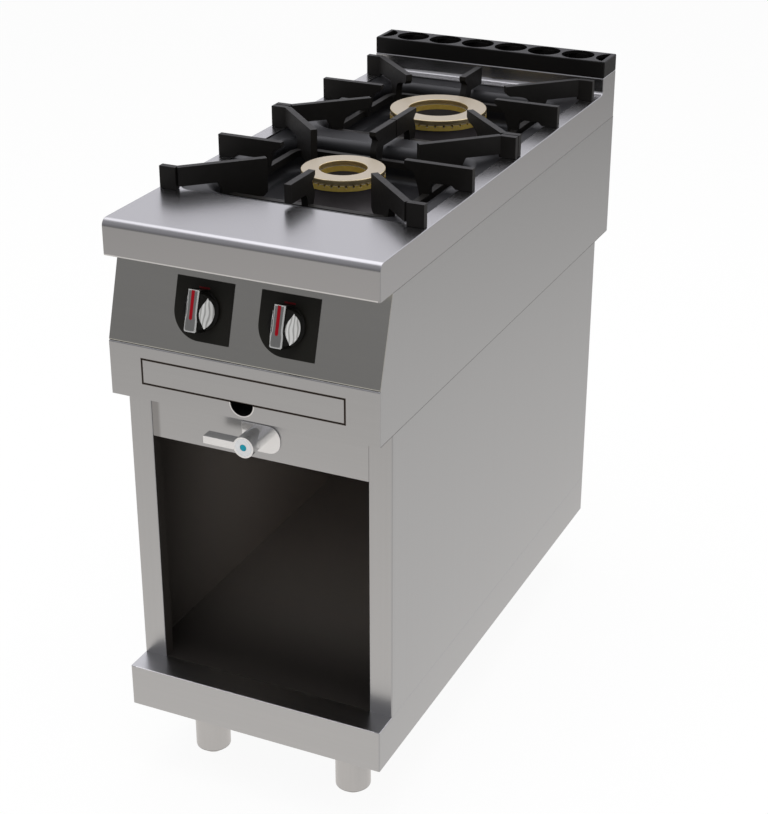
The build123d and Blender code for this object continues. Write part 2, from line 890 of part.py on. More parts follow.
# Burner bodies: a flared cast iron neck over a ring-shaped casing, with the mixing tube
for place, y in burner_y.items():
    neck = crown_radius[place] - neck_inset
    casing = casing_radius[place]
    centre = centre_radius[place]
    skirt = crown_radius[place] + skirt_reach
    channel_inner = centre + burner_wall
    channel_outer = neck - burner_wall
    casing_channel = casing - burner_wall
    with BuildPart() as burner_body:
        with BuildSketch(facing_front(y)):
            with BuildLine():
                Polyline(
                    (centre, z_neck),
                    (centre, z_casing),
                    (casing, z_casing),
                    (casing, z_well),
                    (skirt, z_well),
                    (skirt, z_well + skirt_rim),
                )
                Spline(
                    (skirt, z_well + skirt_rim),
                    (neck, z_neck - crown_height),
                    tangents=[(-1, 0.25), (0, 1)],
                )
                Polyline((neck, z_neck - crown_height), (neck, z_neck), (centre, z_neck))
            make_face()
        revolve(axis=Axis((0, y, 0), (0, 0, 1)))
        disc(
            Plane(origin=(0, y - mixer_reach, z_mixer), z_dir=(0, 1, 0)),
            mixer_radius,
            mixer_reach - (channel_inner + casing_channel) / 2,
        )
        with BuildSketch(Plane(origin=(0, y - mixer_reach, z_mixer), z_dir=(0, 1, 0))):
            Circle(mixer_mouth)
        with BuildSketch(Plane(origin=(0, y - mixer_reach + mixer_mouth_length, z_mixer), z_dir=(0, 1, 0))):
            Circle(mixer_radius)
        loft()
        with BuildSketch(facing_front(y)):
            with BuildLine():
                Polyline(
                    (channel_inner, channel_floor),
                    (casing_channel, channel_floor),
                    (casing_channel, z_well),
                    (channel_outer, z_well + burner_wall),
                    (channel_outer, z_neck),
                    (channel_inner, z_neck),
                    close=True,
                )
            make_face()
        revolve(axis=Axis((0, y, 0), (0, 0, 1)), mode=Mode.SUBTRACT)
        disc(
            Plane(origin=(0, y - mixer_reach, z_mixer), z_dir=(0, 1, 0)),
            mixer_bore,
            mixer_reach - (channel_inner + casing_channel) / 2,
            Mode.SUBTRACT,
        )
        with BuildSketch(Plane(origin=(0, y - mixer_reach, z_mixer), z_dir=(0, 1, 0))):
            Circle(mixer_mouth - burner_wall / 2)
        with BuildSketch(Plane(origin=(0, y - mixer_reach + mixer_mouth_length, z_mixer), z_dir=(0, 1, 0))):
            Circle(mixer_bore)
        loft(mode=Mode.SUBTRACT)
    burner_body.part.label = f"burner_body_{place}"
    export_step(burner_body.part, f"parts/burner_body_{place}.step")

    # Crown: an outer and an inner ring on spokes, with flame ports cut from the top
    with BuildPart() as burner_crown:
        outer_wall = neck - burner_wall + spigot_wall
        turned(
            y,
            [
                (channel_outer - slide_gap - spigot_wall, z_crown - spigot_depth),
                (channel_outer - slide_gap, z_crown - spigot_depth),
                (channel_outer - slide_gap, z_crown),
                (crown_radius[place], z_crown),
                (crown_radius[place], z_crown_top),
                (outer_wall, z_crown_top),
                (outer_wall, z_crown + web_height),
                (channel_outer - slide_gap - spigot_wall, z_crown + web_height),
            ],
        )
        turned(
            y,
            [
                (centre, z_crown),
                (channel_inner + spigot_wall, z_crown),
                (channel_inner + spigot_wall, z_crown + web_height),
                (channel_inner, z_crown + web_height),
                (channel_inner, z_crown_top),
                (centre, z_crown_top),
            ],
        )
        spoke_start = channel_inner + spigot_wall / 2
        spoke_end = channel_outer - spigot_wall
        with BuildSketch(level(z_crown)):
            with Locations((0, y)):
                with PolarLocations((spoke_start + spoke_end) / 2, spoke_count):
                    Rectangle(spoke_end - spoke_start, spoke_width)
        extrude(amount=web_height)
        with BuildSketch(level(z_crown_top)):
            with Locations((0, y)):
                with PolarLocations((crown_radius[place] + outer_wall) / 2, port_count):
                    Rectangle(crown_radius[place] - outer_wall + spigot_wall, port_width)
        extrude(amount=-port_depth, mode=Mode.SUBTRACT)
    burner_crown.part.label = f"burner_crown_{place}"
    export_step(burner_crown.part, f"parts/burner_crown_{place}.step")

    # Cap: a flat ring over a groove, with a lip that centres it on the crown's inner ring
    with BuildPart() as burner_cap:
        z_cap_foot = z_crown_top + seam
        turned(
            y,
            [
                (centre + groove_inset, z_cap_foot),
                (channel_inner + slide_gap, z_cap_foot),
                (channel_inner + slide_gap, z_crown_top - port_depth),
                (channel_inner + slide_gap + spigot_wall, z_crown_top - port_depth),
                (channel_inner + slide_gap + spigot_wall, z_cap_foot),
                (crown_radius[place] - groove_inset, z_cap_foot),
                (crown_radius[place] - groove_inset, z_cap),
                (crown_radius[place], z_cap),
                (crown_radius[place], z_cap_top),
                (centre, z_cap_top),
                (centre, z_cap),
                (centre + groove_inset, z_cap),
            ],
        )
        fillet(burner_cap.edges().group_by(Axis.Z)[-1], radius=cap_edge)
    burner_cap.part.label = f"burner_cap_{place}"
    export_step(burner_cap.part, f"parts/burner_cap_{place}.step")

# Pan supports: blades on a low ring in each well, seen from above as a star
z_grid = z_top + grid_height
z_ring = z_top - low_ring_drop
half_grid_x = grid_width / 2
half_grid_y = grid_length / 2
bend_x = half_grid_x - corner_plate
bend_y = half_grid_y - blade / 2
z_arch = z_top + arch_rise


def blade_outline(reach, foot, leg_near, leg_far, tip, tip_low):
    """Side view of a blade: foot outside, arch over the pan's edge, leg to the ring, and its tip."""
    round_tip = nose_depth / 2
    z_foot = z_top + slide_gap
    heel = [(reach, z_arch)]
    if foot:
        heel = [(reach, z_foot), (reach - foot, z_foot), (reach - foot - arch_rise, z_arch)]
    with BuildLine() as view:
        Polyline(
            (reach, z_grid),
            *heel,
            (leg_far + arch_rise, z_arch),
            (leg_far, z_top - arch_rise),
            (leg_far, z_ring),
            (leg_near, z_ring),
        )
        if tip_low > grid_height:
            Polyline((leg_near, z_ring), (tip + round_tip, z_ring), (tip, z_ring + round_tip), (tip, z_grid))
        else:
            Spline(
                (leg_near, z_ring),
                (leg_near - arch_rise, z_top + arch_rise),
                (tip + round_tip, z_grid - tip_low),
                tangents=[(0, 1), (-1, 0.1)],
            )
            Polyline((tip + round_tip, z_grid - tip_low), (tip, z_grid - tip_low + round_tip), (tip, z_grid))
        Line((tip, z_grid), (reach, z_grid))
    make_face(view.edges())


for place, y in burner_y.items():
    with BuildPart() as grid:
        # Low ring
        with BuildSketch(level(z_ring)):
            with Locations((0, y)):
                RectangleRounded(
                    2 * low_ring_half_x + low_ring_bar,
                    2 * low_ring_half_y + low_ring_bar,
                    low_ring_corner + low_ring_bar / 2,
                )
                RectangleRounded(
                    2 * low_ring_half_x - low_ring_bar,
                    2 * low_ring_half_y - low_ring_bar,
                    low_ring_corner - low_ring_bar / 2,
                    mode=Mode.SUBTRACT,
                )
        extrude(amount=low_ring_bar)
        # Side blades, along X, with a foot on the worktop
        for side in sides.values():
            with BuildSketch(Plane(origin=(0, y, 0), x_dir=(side, 0, 0), z_dir=(0, -side, 0))):
                blade_outline(
                    half_grid_x,
                    corner_plate,
                    low_ring_half_x - leg_half,
                    low_ring_half_x + low_ring_bar / 2,
                    mid_tip,
                    nose_depth,
                )
            extrude(amount=blade / 2, both=True)
        # Front and rear blades, along Y, clear of the worktop
        for way in (-1, 1):
            with BuildSketch(Plane(origin=(0, y, 0), x_dir=(0, way, 0), z_dir=(way, 0, 0))):
                blade_outline(
                    half_grid_y,
                    0,
                    low_ring_half_y - leg_half,
                    low_ring_half_y + low_ring_bar / 2,
                    mid_tip,
                    nose_depth,
                )
            extrude(amount=blade / 2, both=True)
        # Corner blades: a plate along X on the worktop, then a diagonal to the burner
        run_x = bend_x - finger_tip_x
        run_y = bend_y - finger_tip_y
        finger_length = hypot(run_x, run_y)
        for side in sides.values():
            for way in (-1, 1):
                with BuildSketch(level(z_top + slide_gap)):
                    with Locations((side * (bend_x + half_grid_x) / 2, y + way * bend_y)):
                        Rectangle(corner_plate, blade)
                extrude(amount=grid_height - slide_gap)
                along = Vector(side * run_x / finger_length, way * run_y / finger_length, 0)
                tip_point = Vector(side * finger_tip_x, y + way * finger_tip_y, 0)
                across = along.cross(Vector(0, 0, 1))
                corner_cut = low_ring_corner * (1 - cos(radians(45)))
                ring_at = finger_length * (low_ring_half_x - corner_cut - finger_tip_x) / run_x
                with BuildSketch(Plane(origin=tip_point, x_dir=along, z_dir=across)):
                    blade_outline(
                        finger_length,
                        0,
                        ring_at - leg_half,
                        ring_at + leg_half,
                        0,
                        tip_depth[place],
                    )
                extrude(amount=blade / 2, both=True)
    grid.part.label = f"grid_{place}"
    export_step(grid.part, f"parts/grid_{place}.step")

# Flue cover: a cast shell with a row of round holes, and ribs that drop into the flue's mouth
z_cover = z_upstand + seam
y_cover = back - flue_depth / 2
cover_span = range_width - 2 * cover_end_margin
with BuildPart() as flue_grille:
    with BuildSketch(level(z_cover)):
        with Locations((0, y_cover)):
            Rectangle(range_width, flue_depth)
    extrude(amount=cover_height)
    fillet(flue_grille.edges().filter_by(Axis.Z), radius=cover_edge)
    fillet(flue_grille.edges().group_by(Axis.Z)[-1], radius=cover_edge)
    offset(amount=-cover_wall, openings=flue_grille.faces().sort_by(Axis.Z)[0])
    for way in (-1, 1):
        rib_y = y_cover + way * (flue_depth / 2 - flue_mouth_margin - cover_lip_gap - sheet)
        with BuildSketch(level(z_cover + cover_height - cover_wall)):
            with GridLocations(cover_hole_pitch * (cover_hole_count - 2), 1, 2, 1):
                with Locations((0, rib_y)):
                    Rectangle(cover_hole_pitch / 4, 2 * sheet)
        extrude(amount=cover_wall - cover_height - cover_lip_depth)
    with BuildSketch(level(z_cover + cover_height)) as cover_holes:
        with Locations((0, y_cover)):
            with GridLocations(cover_hole_pitch, 1, cover_hole_count + 2, 1):
                Circle(cover_hole_radius)
            Rectangle(cover_span, flue_depth, mode=Mode.INTERSECT)
    extrude(amount=-cover_wall, mode=Mode.SUBTRACT)
flue_grille.part.label = "flue_grille"
export_step(flue_grille.part, "parts/flue_grille.step")

# Bezels: plates on the panel, square but for a large round corner
with BuildPart() as knob_bezels:
    for side in sides.values():
        with BuildSketch(on_panel(side * knob_x)) as bezel_outline:
            with Locations((0, (bezel_up - bezel_down) / 2)):
                Rectangle(bezel_width, bezel_up + bezel_down)
            fillet(bezel_outline.vertices().sort_by(Axis((0, 0, 0), (1, 1, 0)))[0], radius=bezel_corner)
            Circle(spindle_hole_radius, mode=Mode.SUBTRACT)
        extrude(amount=bezel_gauge)
knob_bezels.part.label = "knob_bezels"
export_step(knob_bezels.part, "parts/knob_bezels.step")

# Knobs and valves
knob_base = bezel_gauge + knob_push + knob_push_room
flank_top = knob_height - inlay_gauge - paddle_edge
flank_bottom = knob_base + skirt_height
flank_rise = flank_top - flank_bottom
flank_run = flank_foot - flank_head
valve_rear = valve_front + valve_length
valve_port_end = valve_rear + valve_port_length


def spindle_section(radius, flat):
    """Round section with a flat on one side, on the knob's axis."""
    with BuildSketch() as section:
        Circle(radius)
        with Locations((0, radius + flat)):
            Rectangle(4 * radius, 2 * radius, mode=Mode.SUBTRACT)
    return section.sketch


def paddle_outline(inset=0.0):
    """Bottle-shaped outline of the grip, wide at its lower end."""
    with BuildLine() as outline:
        right = Spline(
            (paddle_half_top - inset, paddle_top - inset),
            (paddle_half_waist - inset, -paddle_half_waist),
            (paddle_half_bottom - inset, inset - paddle_bottom),
            tangents=[(-0.1, -1), (-0.1, -1)],
        )
        mirror(right, about=Plane.YZ)
        Line(right @ 0, (inset - paddle_half_top, paddle_top - inset))
        Line(right @ 1, (inset - paddle_half_bottom, inset - paddle_bottom))
    make_face(outline.edges())


for name, side in sides.items():
    knob_axis_x = side * knob_x

    # Knob: round skirt, sloping flanks and the grip across it
    with BuildPart() as knob:
        disc(on_panel(knob_axis_x, knob_base), skirt_radius, skirt_height)
        fillet(knob.edges().sort_by(Axis(off_panel(knob_axis_x, 0), panel_normal))[-1], radius=skirt_edge)
        with BuildPart(mode=Mode.PRIVATE) as flanks:
            flank_plane = Plane(
                origin=off_panel(knob_axis_x, 0),
                x_dir=(1, 0, 0),
                z_dir=(0, -sin(panel_tilt), -cos(panel_tilt)),
            )
            with BuildSketch(flank_plane):
                with BuildLine():
                    Polyline(
                        (-flank_foot, flank_bottom),
                        (-flank_head, flank_top),
                        (flank_head, flank_top),
                        (flank_foot, flank_bottom),
                        close=True,
                    )
                make_face()
            extrude(amount=flank_half_length, both=True)
            disc(on_panel(knob_axis_x, 0), skirt_radius - skirt_edge, knob_height, Mode.INTERSECT)
        add(flanks.part)
        with BuildSketch(on_panel(knob_axis_x, knob_base)):
            paddle_outline()
        extrude(amount=knob_height - inlay_gauge - knob_base)
        with BuildSketch(on_panel(knob_axis_x, knob_base)):
            add(spindle_section(spindle_radius + spindle_clearance, spindle_flat + spindle_clearance))
        extrude(amount=spindle_grip, mode=Mode.SUBTRACT)
    knob.part.label = f"knob_{name}"
    export_step(knob.part, f"parts/knob_{name}.step")

    # Bright inlays: a plate on the grip's face and a leaf on each flank
    with BuildPart() as knob_inlay:
        with BuildSketch(on_panel(knob_axis_x, knob_height - inlay_gauge)):
            paddle_outline(seam)
        extrude(amount=inlay_gauge)
        for flank in sides.values():
            leaf_x = knob_axis_x + flank * (flank_foot + flank_head) / 2
            leaf_plane = Plane(
                origin=off_panel(leaf_x, (flank_bottom + flank_top) / 2),
                x_dir=(0, sin(panel_tilt), cos(panel_tilt)),
                z_dir=Vector(flank * flank_rise, 0, 0) + Vector(*panel_normal) * flank_run,
            )
            with BuildSketch(leaf_plane):
                with BuildLine():
                    ThreePointArc((-leaf_half_length, 0), (0, leaf_half_width), (leaf_half_length, 0))
                    ThreePointArc((-leaf_half_length, 0), (0, -leaf_half_width), (leaf_half_length, 0))
                make_face()
            extrude(amount=inlay_gauge)
    knob_inlay.part.label = f"knob_inlay_{name}"
    export_step(knob_inlay.part, f"parts/knob_inlay_{name}.step")

    # Spindle: a flatted rod from the knob into the plug
    spindle_end = plug_front + spindle_depth
    with BuildPart() as valve_spindle:
        with BuildSketch(on_panel(knob_axis_x, -spindle_end)):
            add(spindle_section(spindle_radius, spindle_flat))
        extrude(amount=spindle_end + knob_base + spindle_grip - seam)
    valve_spindle.part.label = f"valve_spindle_{name}"
    export_step(valve_spindle.part, f"parts/valve_spindle_{name}.step")

    # Plug: turns with the spindle, which slides in it
    with BuildPart() as valve_plug:
        disc(on_panel(knob_axis_x, -plug_front), plug_radius, -plug_length)
        with BuildSketch(on_panel(knob_axis_x, -plug_front)):
            add(spindle_section(spindle_radius + spindle_clearance, spindle_flat + spindle_clearance))
        extrude(amount=-(spindle_depth + knob_push + spindle_end_room), mode=Mode.SUBTRACT)
    valve_plug.part.label = f"valve_plug_{name}"
    export_step(valve_plug.part, f"parts/valve_plug_{name}.step")

    # Valve body: stands on the manifold's boss and opens to the supply pipe behind
    stub = off_panel(knob_axis_x, -valve_stub_depth)
    z_boss = stub.Z - manifold_drop + boss_rise
    with BuildPart() as valve_body:
        disc(on_panel(knob_axis_x, -valve_front), valve_radius, -valve_length)
        disc(on_panel(knob_axis_x, -valve_rear), valve_port_radius, -valve_port_length)
        disc(Plane(origin=(stub.X, stub.Y, z_boss)), valve_stub_radius, stub.Z - z_boss)
        disc(
            on_panel(knob_axis_x, -valve_front),
            plug_radius + plug_clearance,
            valve_front - plug_front - plug_length - plug_end_room,
            Mode.SUBTRACT,
        )
        disc(on_panel(knob_axis_x, -valve_port_end), valve_bore, valve_rear - plug_front, Mode.SUBTRACT)
        disc(Plane(origin=(stub.X, stub.Y, z_boss)), valve_bore, stub.Z - z_boss, Mode.SUBTRACT)
    valve_body.part.label = f"valve_body_{name}"
    export_step(valve_body.part, f"parts/valve_body_{name}.step")

# Manifold: a closed tube behind the panel, with a boss under each valve
y_manifold = stub.Y
z_manifold = stub.Z - manifold_drop
manifold_length = manifold_left + manifold_right
with BuildPart() as gas_manifold:
    manifold_plane = Plane(origin=(-manifold_left, y_manifold, z_manifold), z_dir=(1, 0, 0))
    disc(manifold_plane, manifold_radius, manifold_length)
    for side in sides.values():
        disc(Plane(origin=(side * knob_x, y_manifold, z_manifold)), boss_radius, boss_rise)
    disc(
        manifold_plane.offset(manifold_wall),
        manifold_radius - manifold_wall,
        manifold_length - 2 * manifold_wall,
        Mode.SUBTRACT,
    )
    for side in sides.values():
        disc(Plane(origin=(side * knob_x, y_manifold, z_manifold)), valve_bore, boss_rise, Mode.SUBTRACT)
gas_manifold.part.label = "gas_manifold"
export_step(gas_manifold.part, "parts/gas_manifold.step")


def threaded_end(x, y, z):
    """Hexagon and pipe thread that point down from z."""
    with BuildSketch(Plane(origin=(x, y, z))) as hexagon:
        RegularPolygon(hex_radius, 6)
    extrude(hexagon.sketch, amount=-hex_height)
    disc(Plane(origin=(x, y, z - hex_height)), thread_radius, -thread_length)


# Gas inlet: along the right side, then down to a hexagon seated under the rear overhang
z_gas_end = z_house
with BuildPart() as gas_inlet_pipe:
    pipe(
        [
            (manifold_right, y_manifold, z_manifold),
            (gas_inlet_x, y_manifold, z_manifold),
            (gas_inlet_x, gas_inlet_y, z_manifold),
            (gas_inlet_x, gas_inlet_y, z_gas_end),
        ],
        pipe_radius,
        pipe_bend,
    )
    threaded_end(gas_inlet_x, gas_inlet_y, z_gas_end)
gas_inlet_pipe.part.label = "gas_inlet_pipe"
export_step(gas_inlet_pipe.part, "parts/gas_inlet_pipe.step")

# Injectors, each just ahead of its mixing tube's mouth
injector_back = {place: y - mixer_reach - injector_span for place, y in burner_y.items()}
with BuildPart() as injectors:
    for y in injector_back.values():
        injector_plane = Plane(origin=(0, y, z_mixer), z_dir=(0, 1, 0))
        with BuildSketch(injector_plane):
            RegularPolygon(injector_radius, 6)
        extrude(amount=injector_length)
        disc(injector_plane.offset(injector_length), injector_nozzle_radius, injector_nozzle_length)
        disc(injector_plane, valve_bore, injector_length, Mode.SUBTRACT)
        disc(injector_plane.offset(injector_length), injector_orifice, injector_nozzle_length, Mode.SUBTRACT)
injectors.part.label = "injectors"
export_step(injectors.part, "parts/injectors.step")

# Supply pipes: left valve to the front burner, right valve to the rear one
front_start = off_panel(-knob_x, -valve_port_end)
front_turn = off_panel(-knob_x, -valve_port_end - supply_run)
with BuildPart() as supply_pipe_front:
    pipe(
        [
            tuple(front_start),
            tuple(front_turn),
            (0, front_turn.Y, front_turn.Z + supply_rise),
            (0, front_turn.Y, z_mixer),
            (0, injector_back["front"], z_mixer),
        ],
        supply_radius,
        supply_bend,
    )
supply_pipe_front.part.label = "supply_pipe_front"
export_step(supply_pipe_front.part, "parts/supply_pipe_front.step")

rear_start = off_panel(knob_x, -valve_port_end)
rear_turn = off_panel(knob_x, -valve_port_end - supply_run)
y_rear_turn = injector_back["rear"] - 2 * supply_bend
with BuildPart() as supply_pipe_rear:
    pipe(
        [
            tuple(rear_start),
            tuple(rear_turn),
            (supply_rear_x, rear_turn.Y + supply_gather, z_mixer),
            (supply_rear_x, y_rear_turn, z_mixer),
            (0, y_rear_turn, z_mixer),
            (0, injector_back["rear"], z_mixer),
        ],
        supply_radius,
        supply_bend,
    )
supply_pipe_rear.part.label = "supply_pipe_rear"
export_step(supply_pipe_rear.part, "parts/supply_pipe_rear.step")

# Pilots: a strip under each burner casing carries the pilot's tube and hood
with BuildPart() as pilots:
    for place, y in burner_y.items():
        strip_length = 2 * casing_radius[place] - burner_wall
        with BuildSketch(level(z_casing)):
            with Locations((0, y)):
                Rectangle(strip_length, sensor_bracket_width)
            with Locations((sensor_x, y)):
                Circle(thermocouple_radius + slide_gap, mode=Mode.SUBTRACT)
        extrude(amount=-sensor_bracket_gauge)
        pilot_plane = Plane(origin=(-sensor_x, y, z_casing))
        pilot_length = z_neck - pilot_top_drop - z_casing
        disc(pilot_plane, pilot_radius, pilot_length)
        disc(pilot_plane.offset(pilot_length), pilot_hood_radius, pilot_hood_height)
pilots.part.label = "pilots"
export_step(pilots.part, "parts/pilots.step")

# Thermocouples: a rod with a nut that rests on the strip
with BuildPart() as thermocouples:
    for y in burner_y.values():
        rod_foot = Plane(origin=(sensor_x, y, z_casing - sensor_bracket_gauge - thermocouple_tail))
        disc(rod_foot, thermocouple_radius, z_neck - z_casing + sensor_bracket_gauge + thermocouple_tail)
        with BuildSketch(Plane(origin=(sensor_x, y, z_casing))):
            RegularPolygon(thermocouple_nut_radius, 6)
        extrude(amount=thermocouple_nut_height)
thermocouples.part.label = "thermocouples"
export_step(thermocouples.part, "parts/thermocouples.step")

# Tap: the body stands on its plate and passes through the rail to a nut
y_plate = y_rail - escutcheon_gauge
y_hub = y_rail - tap_reach
y_body = y_hub + tap_hub_length + slide_gap
y_shank_end = y_rail + tap_shank_length
y_spout = front + spout_y


def along_tap(y):
    """Plane on the tap's axis that faces the back."""
    return Plane(origin=(0, y, z_tap), x_dir=(1, 0, 0), z_dir=(0, 1, 0))


plate_place = (
    (escutcheon_right - escutcheon_left) / 2,
    z_tap + (escutcheon_up - escutcheon_down) / 2,
)
with BuildPart() as tap_escutcheon:
    with BuildSketch(facing_front(y_rail)) as plate_outline:
        with Locations(plate_place):
            Rectangle(escutcheon_left + escutcheon_right, escutcheon_up + escutcheon_down)
        plate_corners = plate_outline.vertices().sort_by(Axis.X)
        fillet(plate_corners[2:], radius=escutcheon_corner)
        with Locations((0, z_tap)):
            Circle(tap_shank_radius + tap_hole_clearance, mode=Mode.SUBTRACT)
    extrude(amount=escutcheon_gauge)
tap_escutcheon.part.label = "tap_escutcheon"
export_step(tap_escutcheon.part, "parts/tap_escutcheon.step")

with BuildPart() as tap_body:
    disc(along_tap(y_body), tap_radius, y_plate - y_body)
    disc(along_tap(y_plate), tap_shank_radius, y_shank_end - y_plate)
    disc(Plane(origin=(0, y_spout, z_tap)), spout_boss_radius, spout_boss_rise)
    disc(along_tap(y_body), tap_stem_radius + tap_stem_clearance, tap_stem_length, Mode.SUBTRACT)
    with BuildSketch(along_tap(y_rail + sheet)) as tap_nut:
        RegularPolygon(tap_nut_radius, 6)
        Circle(tap_shank_radius + seam, mode=Mode.SUBTRACT)
    extrude(amount=tap_nut_height)
tap_body.part.label = "tap_body"
export_step(tap_body.part, "parts/tap_body.step")

# Lever: hub, bar and stem
with BuildPart() as tap_lever:
    with BuildSketch(along_tap(y_hub)):
        with Locations((-lever_reach / 2, 0)):
            Rectangle(lever_reach, lever_height)
    extrude(amount=tap_hub_length)
    fillet(tap_lever.edges().group_by(Axis.X)[0], radius=lever_edge)
    disc(along_tap(y_hub), tap_radius, tap_hub_length)
    disc(along_tap(y_hub + tap_hub_length), tap_stem_radius, tap_stem_length - slide_gap)
    disc(along_tap(y_hub), index_radius + slide_gap, index_recess, Mode.SUBTRACT)
tap_lever.part.label = "tap_lever"
export_step(tap_lever.part, "parts/tap_lever.step")

# Blue index in the hub's recess
with BuildPart() as tap_index:
    disc(along_tap(y_hub + index_recess), index_radius, -index_height)
tap_index.part.label = "tap_index"
export_step(tap_index.part, "parts/tap_index.step")

# Water pipe: along the ceiling of the stand, out through its rear sheet, to a thread
z_water_end = z_water - water_pipe_end
with BuildPart() as water_pipe:
    pipe(
        [
            (0, y_shank_end, z_tap),
            (0, y_shank_end + water_pipe_run, z_tap),
            (water_pipe_x, y_shank_end + water_pipe_run + water_pipe_gather, z_water),
            (water_pipe_x, gas_inlet_y, z_water),
            (water_pipe_x, gas_inlet_y, z_water_end),
        ],
        water_pipe_radius,
        pipe_bend,
    )
    threaded_end(water_pipe_x, gas_inlet_y, z_water_end)
water_pipe.part.label = "water_pipe"
export_step(water_pipe.part, "parts/water_pipe.step")

# Spout: from the tap's boss up beside the drip tray and over its rim
z_spout_run = z_house - spout_run_drop
z_spout_top = z_tray + tray_height + spout_over_tray
with BuildPart() as fill_spout:
    pipe(
        [
            (0, y_spout, z_tap + spout_boss_rise),
            (0, y_spout, z_spout_run),
            (spout_riser_x, y_spout, z_spout_run),
            (spout_riser_x, y_spout, z_spout_top),
            (spout_tip_x, y_spout, z_spout_top),
            (spout_tip_x, y_spout, z_tray + tray_height + spout_tip_gap),
        ],
        spout_radius,
        spout_bend,
    )
fill_spout.part.label = "fill_spout"
export_step(fill_spout.part, "parts/fill_spout.step")
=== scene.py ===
"""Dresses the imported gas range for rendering: finishes, fine pieces, studio and camera.

Everything is in metres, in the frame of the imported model: X to the right, Y to the back, Z up from the floor.
"""

import json
import logging
import math
from dataclasses import dataclass, replace
from enum import Enum
from typing import Iterable, Optional, Sequence

import bpy
from mathutils import Matrix, Vector

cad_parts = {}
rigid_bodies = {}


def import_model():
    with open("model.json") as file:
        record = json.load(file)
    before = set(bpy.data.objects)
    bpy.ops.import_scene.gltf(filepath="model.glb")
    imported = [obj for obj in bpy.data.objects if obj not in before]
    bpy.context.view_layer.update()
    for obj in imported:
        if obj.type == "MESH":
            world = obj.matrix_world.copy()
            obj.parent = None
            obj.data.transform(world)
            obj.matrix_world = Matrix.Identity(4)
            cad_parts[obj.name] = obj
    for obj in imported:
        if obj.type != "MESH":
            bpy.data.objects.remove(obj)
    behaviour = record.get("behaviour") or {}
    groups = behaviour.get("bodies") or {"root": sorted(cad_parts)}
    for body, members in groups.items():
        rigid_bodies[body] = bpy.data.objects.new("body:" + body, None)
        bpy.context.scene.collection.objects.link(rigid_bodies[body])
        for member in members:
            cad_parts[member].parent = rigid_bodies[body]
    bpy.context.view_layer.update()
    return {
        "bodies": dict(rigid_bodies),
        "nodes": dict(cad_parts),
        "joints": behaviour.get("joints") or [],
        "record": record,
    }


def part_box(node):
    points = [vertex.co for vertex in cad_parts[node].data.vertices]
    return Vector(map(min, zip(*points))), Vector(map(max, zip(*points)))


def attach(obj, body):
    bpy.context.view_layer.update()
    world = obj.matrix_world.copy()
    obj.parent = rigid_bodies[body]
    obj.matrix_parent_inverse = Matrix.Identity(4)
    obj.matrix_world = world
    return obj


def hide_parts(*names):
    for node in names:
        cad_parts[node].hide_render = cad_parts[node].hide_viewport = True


LOG = logging.getLogger("gas_range")
MM = 0.001
REACH = 2.0  # further than any of the range's sides
LEVEL = 0.9  # the least Z of a level face's normal
BRUSH_OCTAVES = 4.0
Socket = bpy.types.NodeSocket
Colour = tuple[float, float, float]
Place = tuple[float, float, float]
Box = tuple[Place, Place]
Outline = list[tuple[float, float]]


class Grain(Enum):
    """Direction in which a sheet was brushed, as streaks per metre along each axis."""

    ALONG_X = (1.5, 260.0, 260.0)
    ALONG_Y = (260.0, 1.5, 260.0)
    ALONG_Z = (260.0, 260.0, 1.5)
    PRESSED = (1.5, 9.0, 260.0)


class Side(Enum):
    """Left and right of the range, as a sign along X."""

    LEFT = -1
    RIGHT = 1


class Edge(Enum):
    """Width of a piece's eased edges, in metres."""

    SHARP = 0.0
    INDEX = 0.2 * MM
    ZINC = 0.25 * MM
    SHEET = 0.3 * MM
    COVER = 0.35 * MM
    SIDE = 0.4 * MM
    TUBE = 0.5 * MM
    KNOB = 0.6 * MM
    GRILLE = 0.8 * MM
    GRID = 1.6 * MM


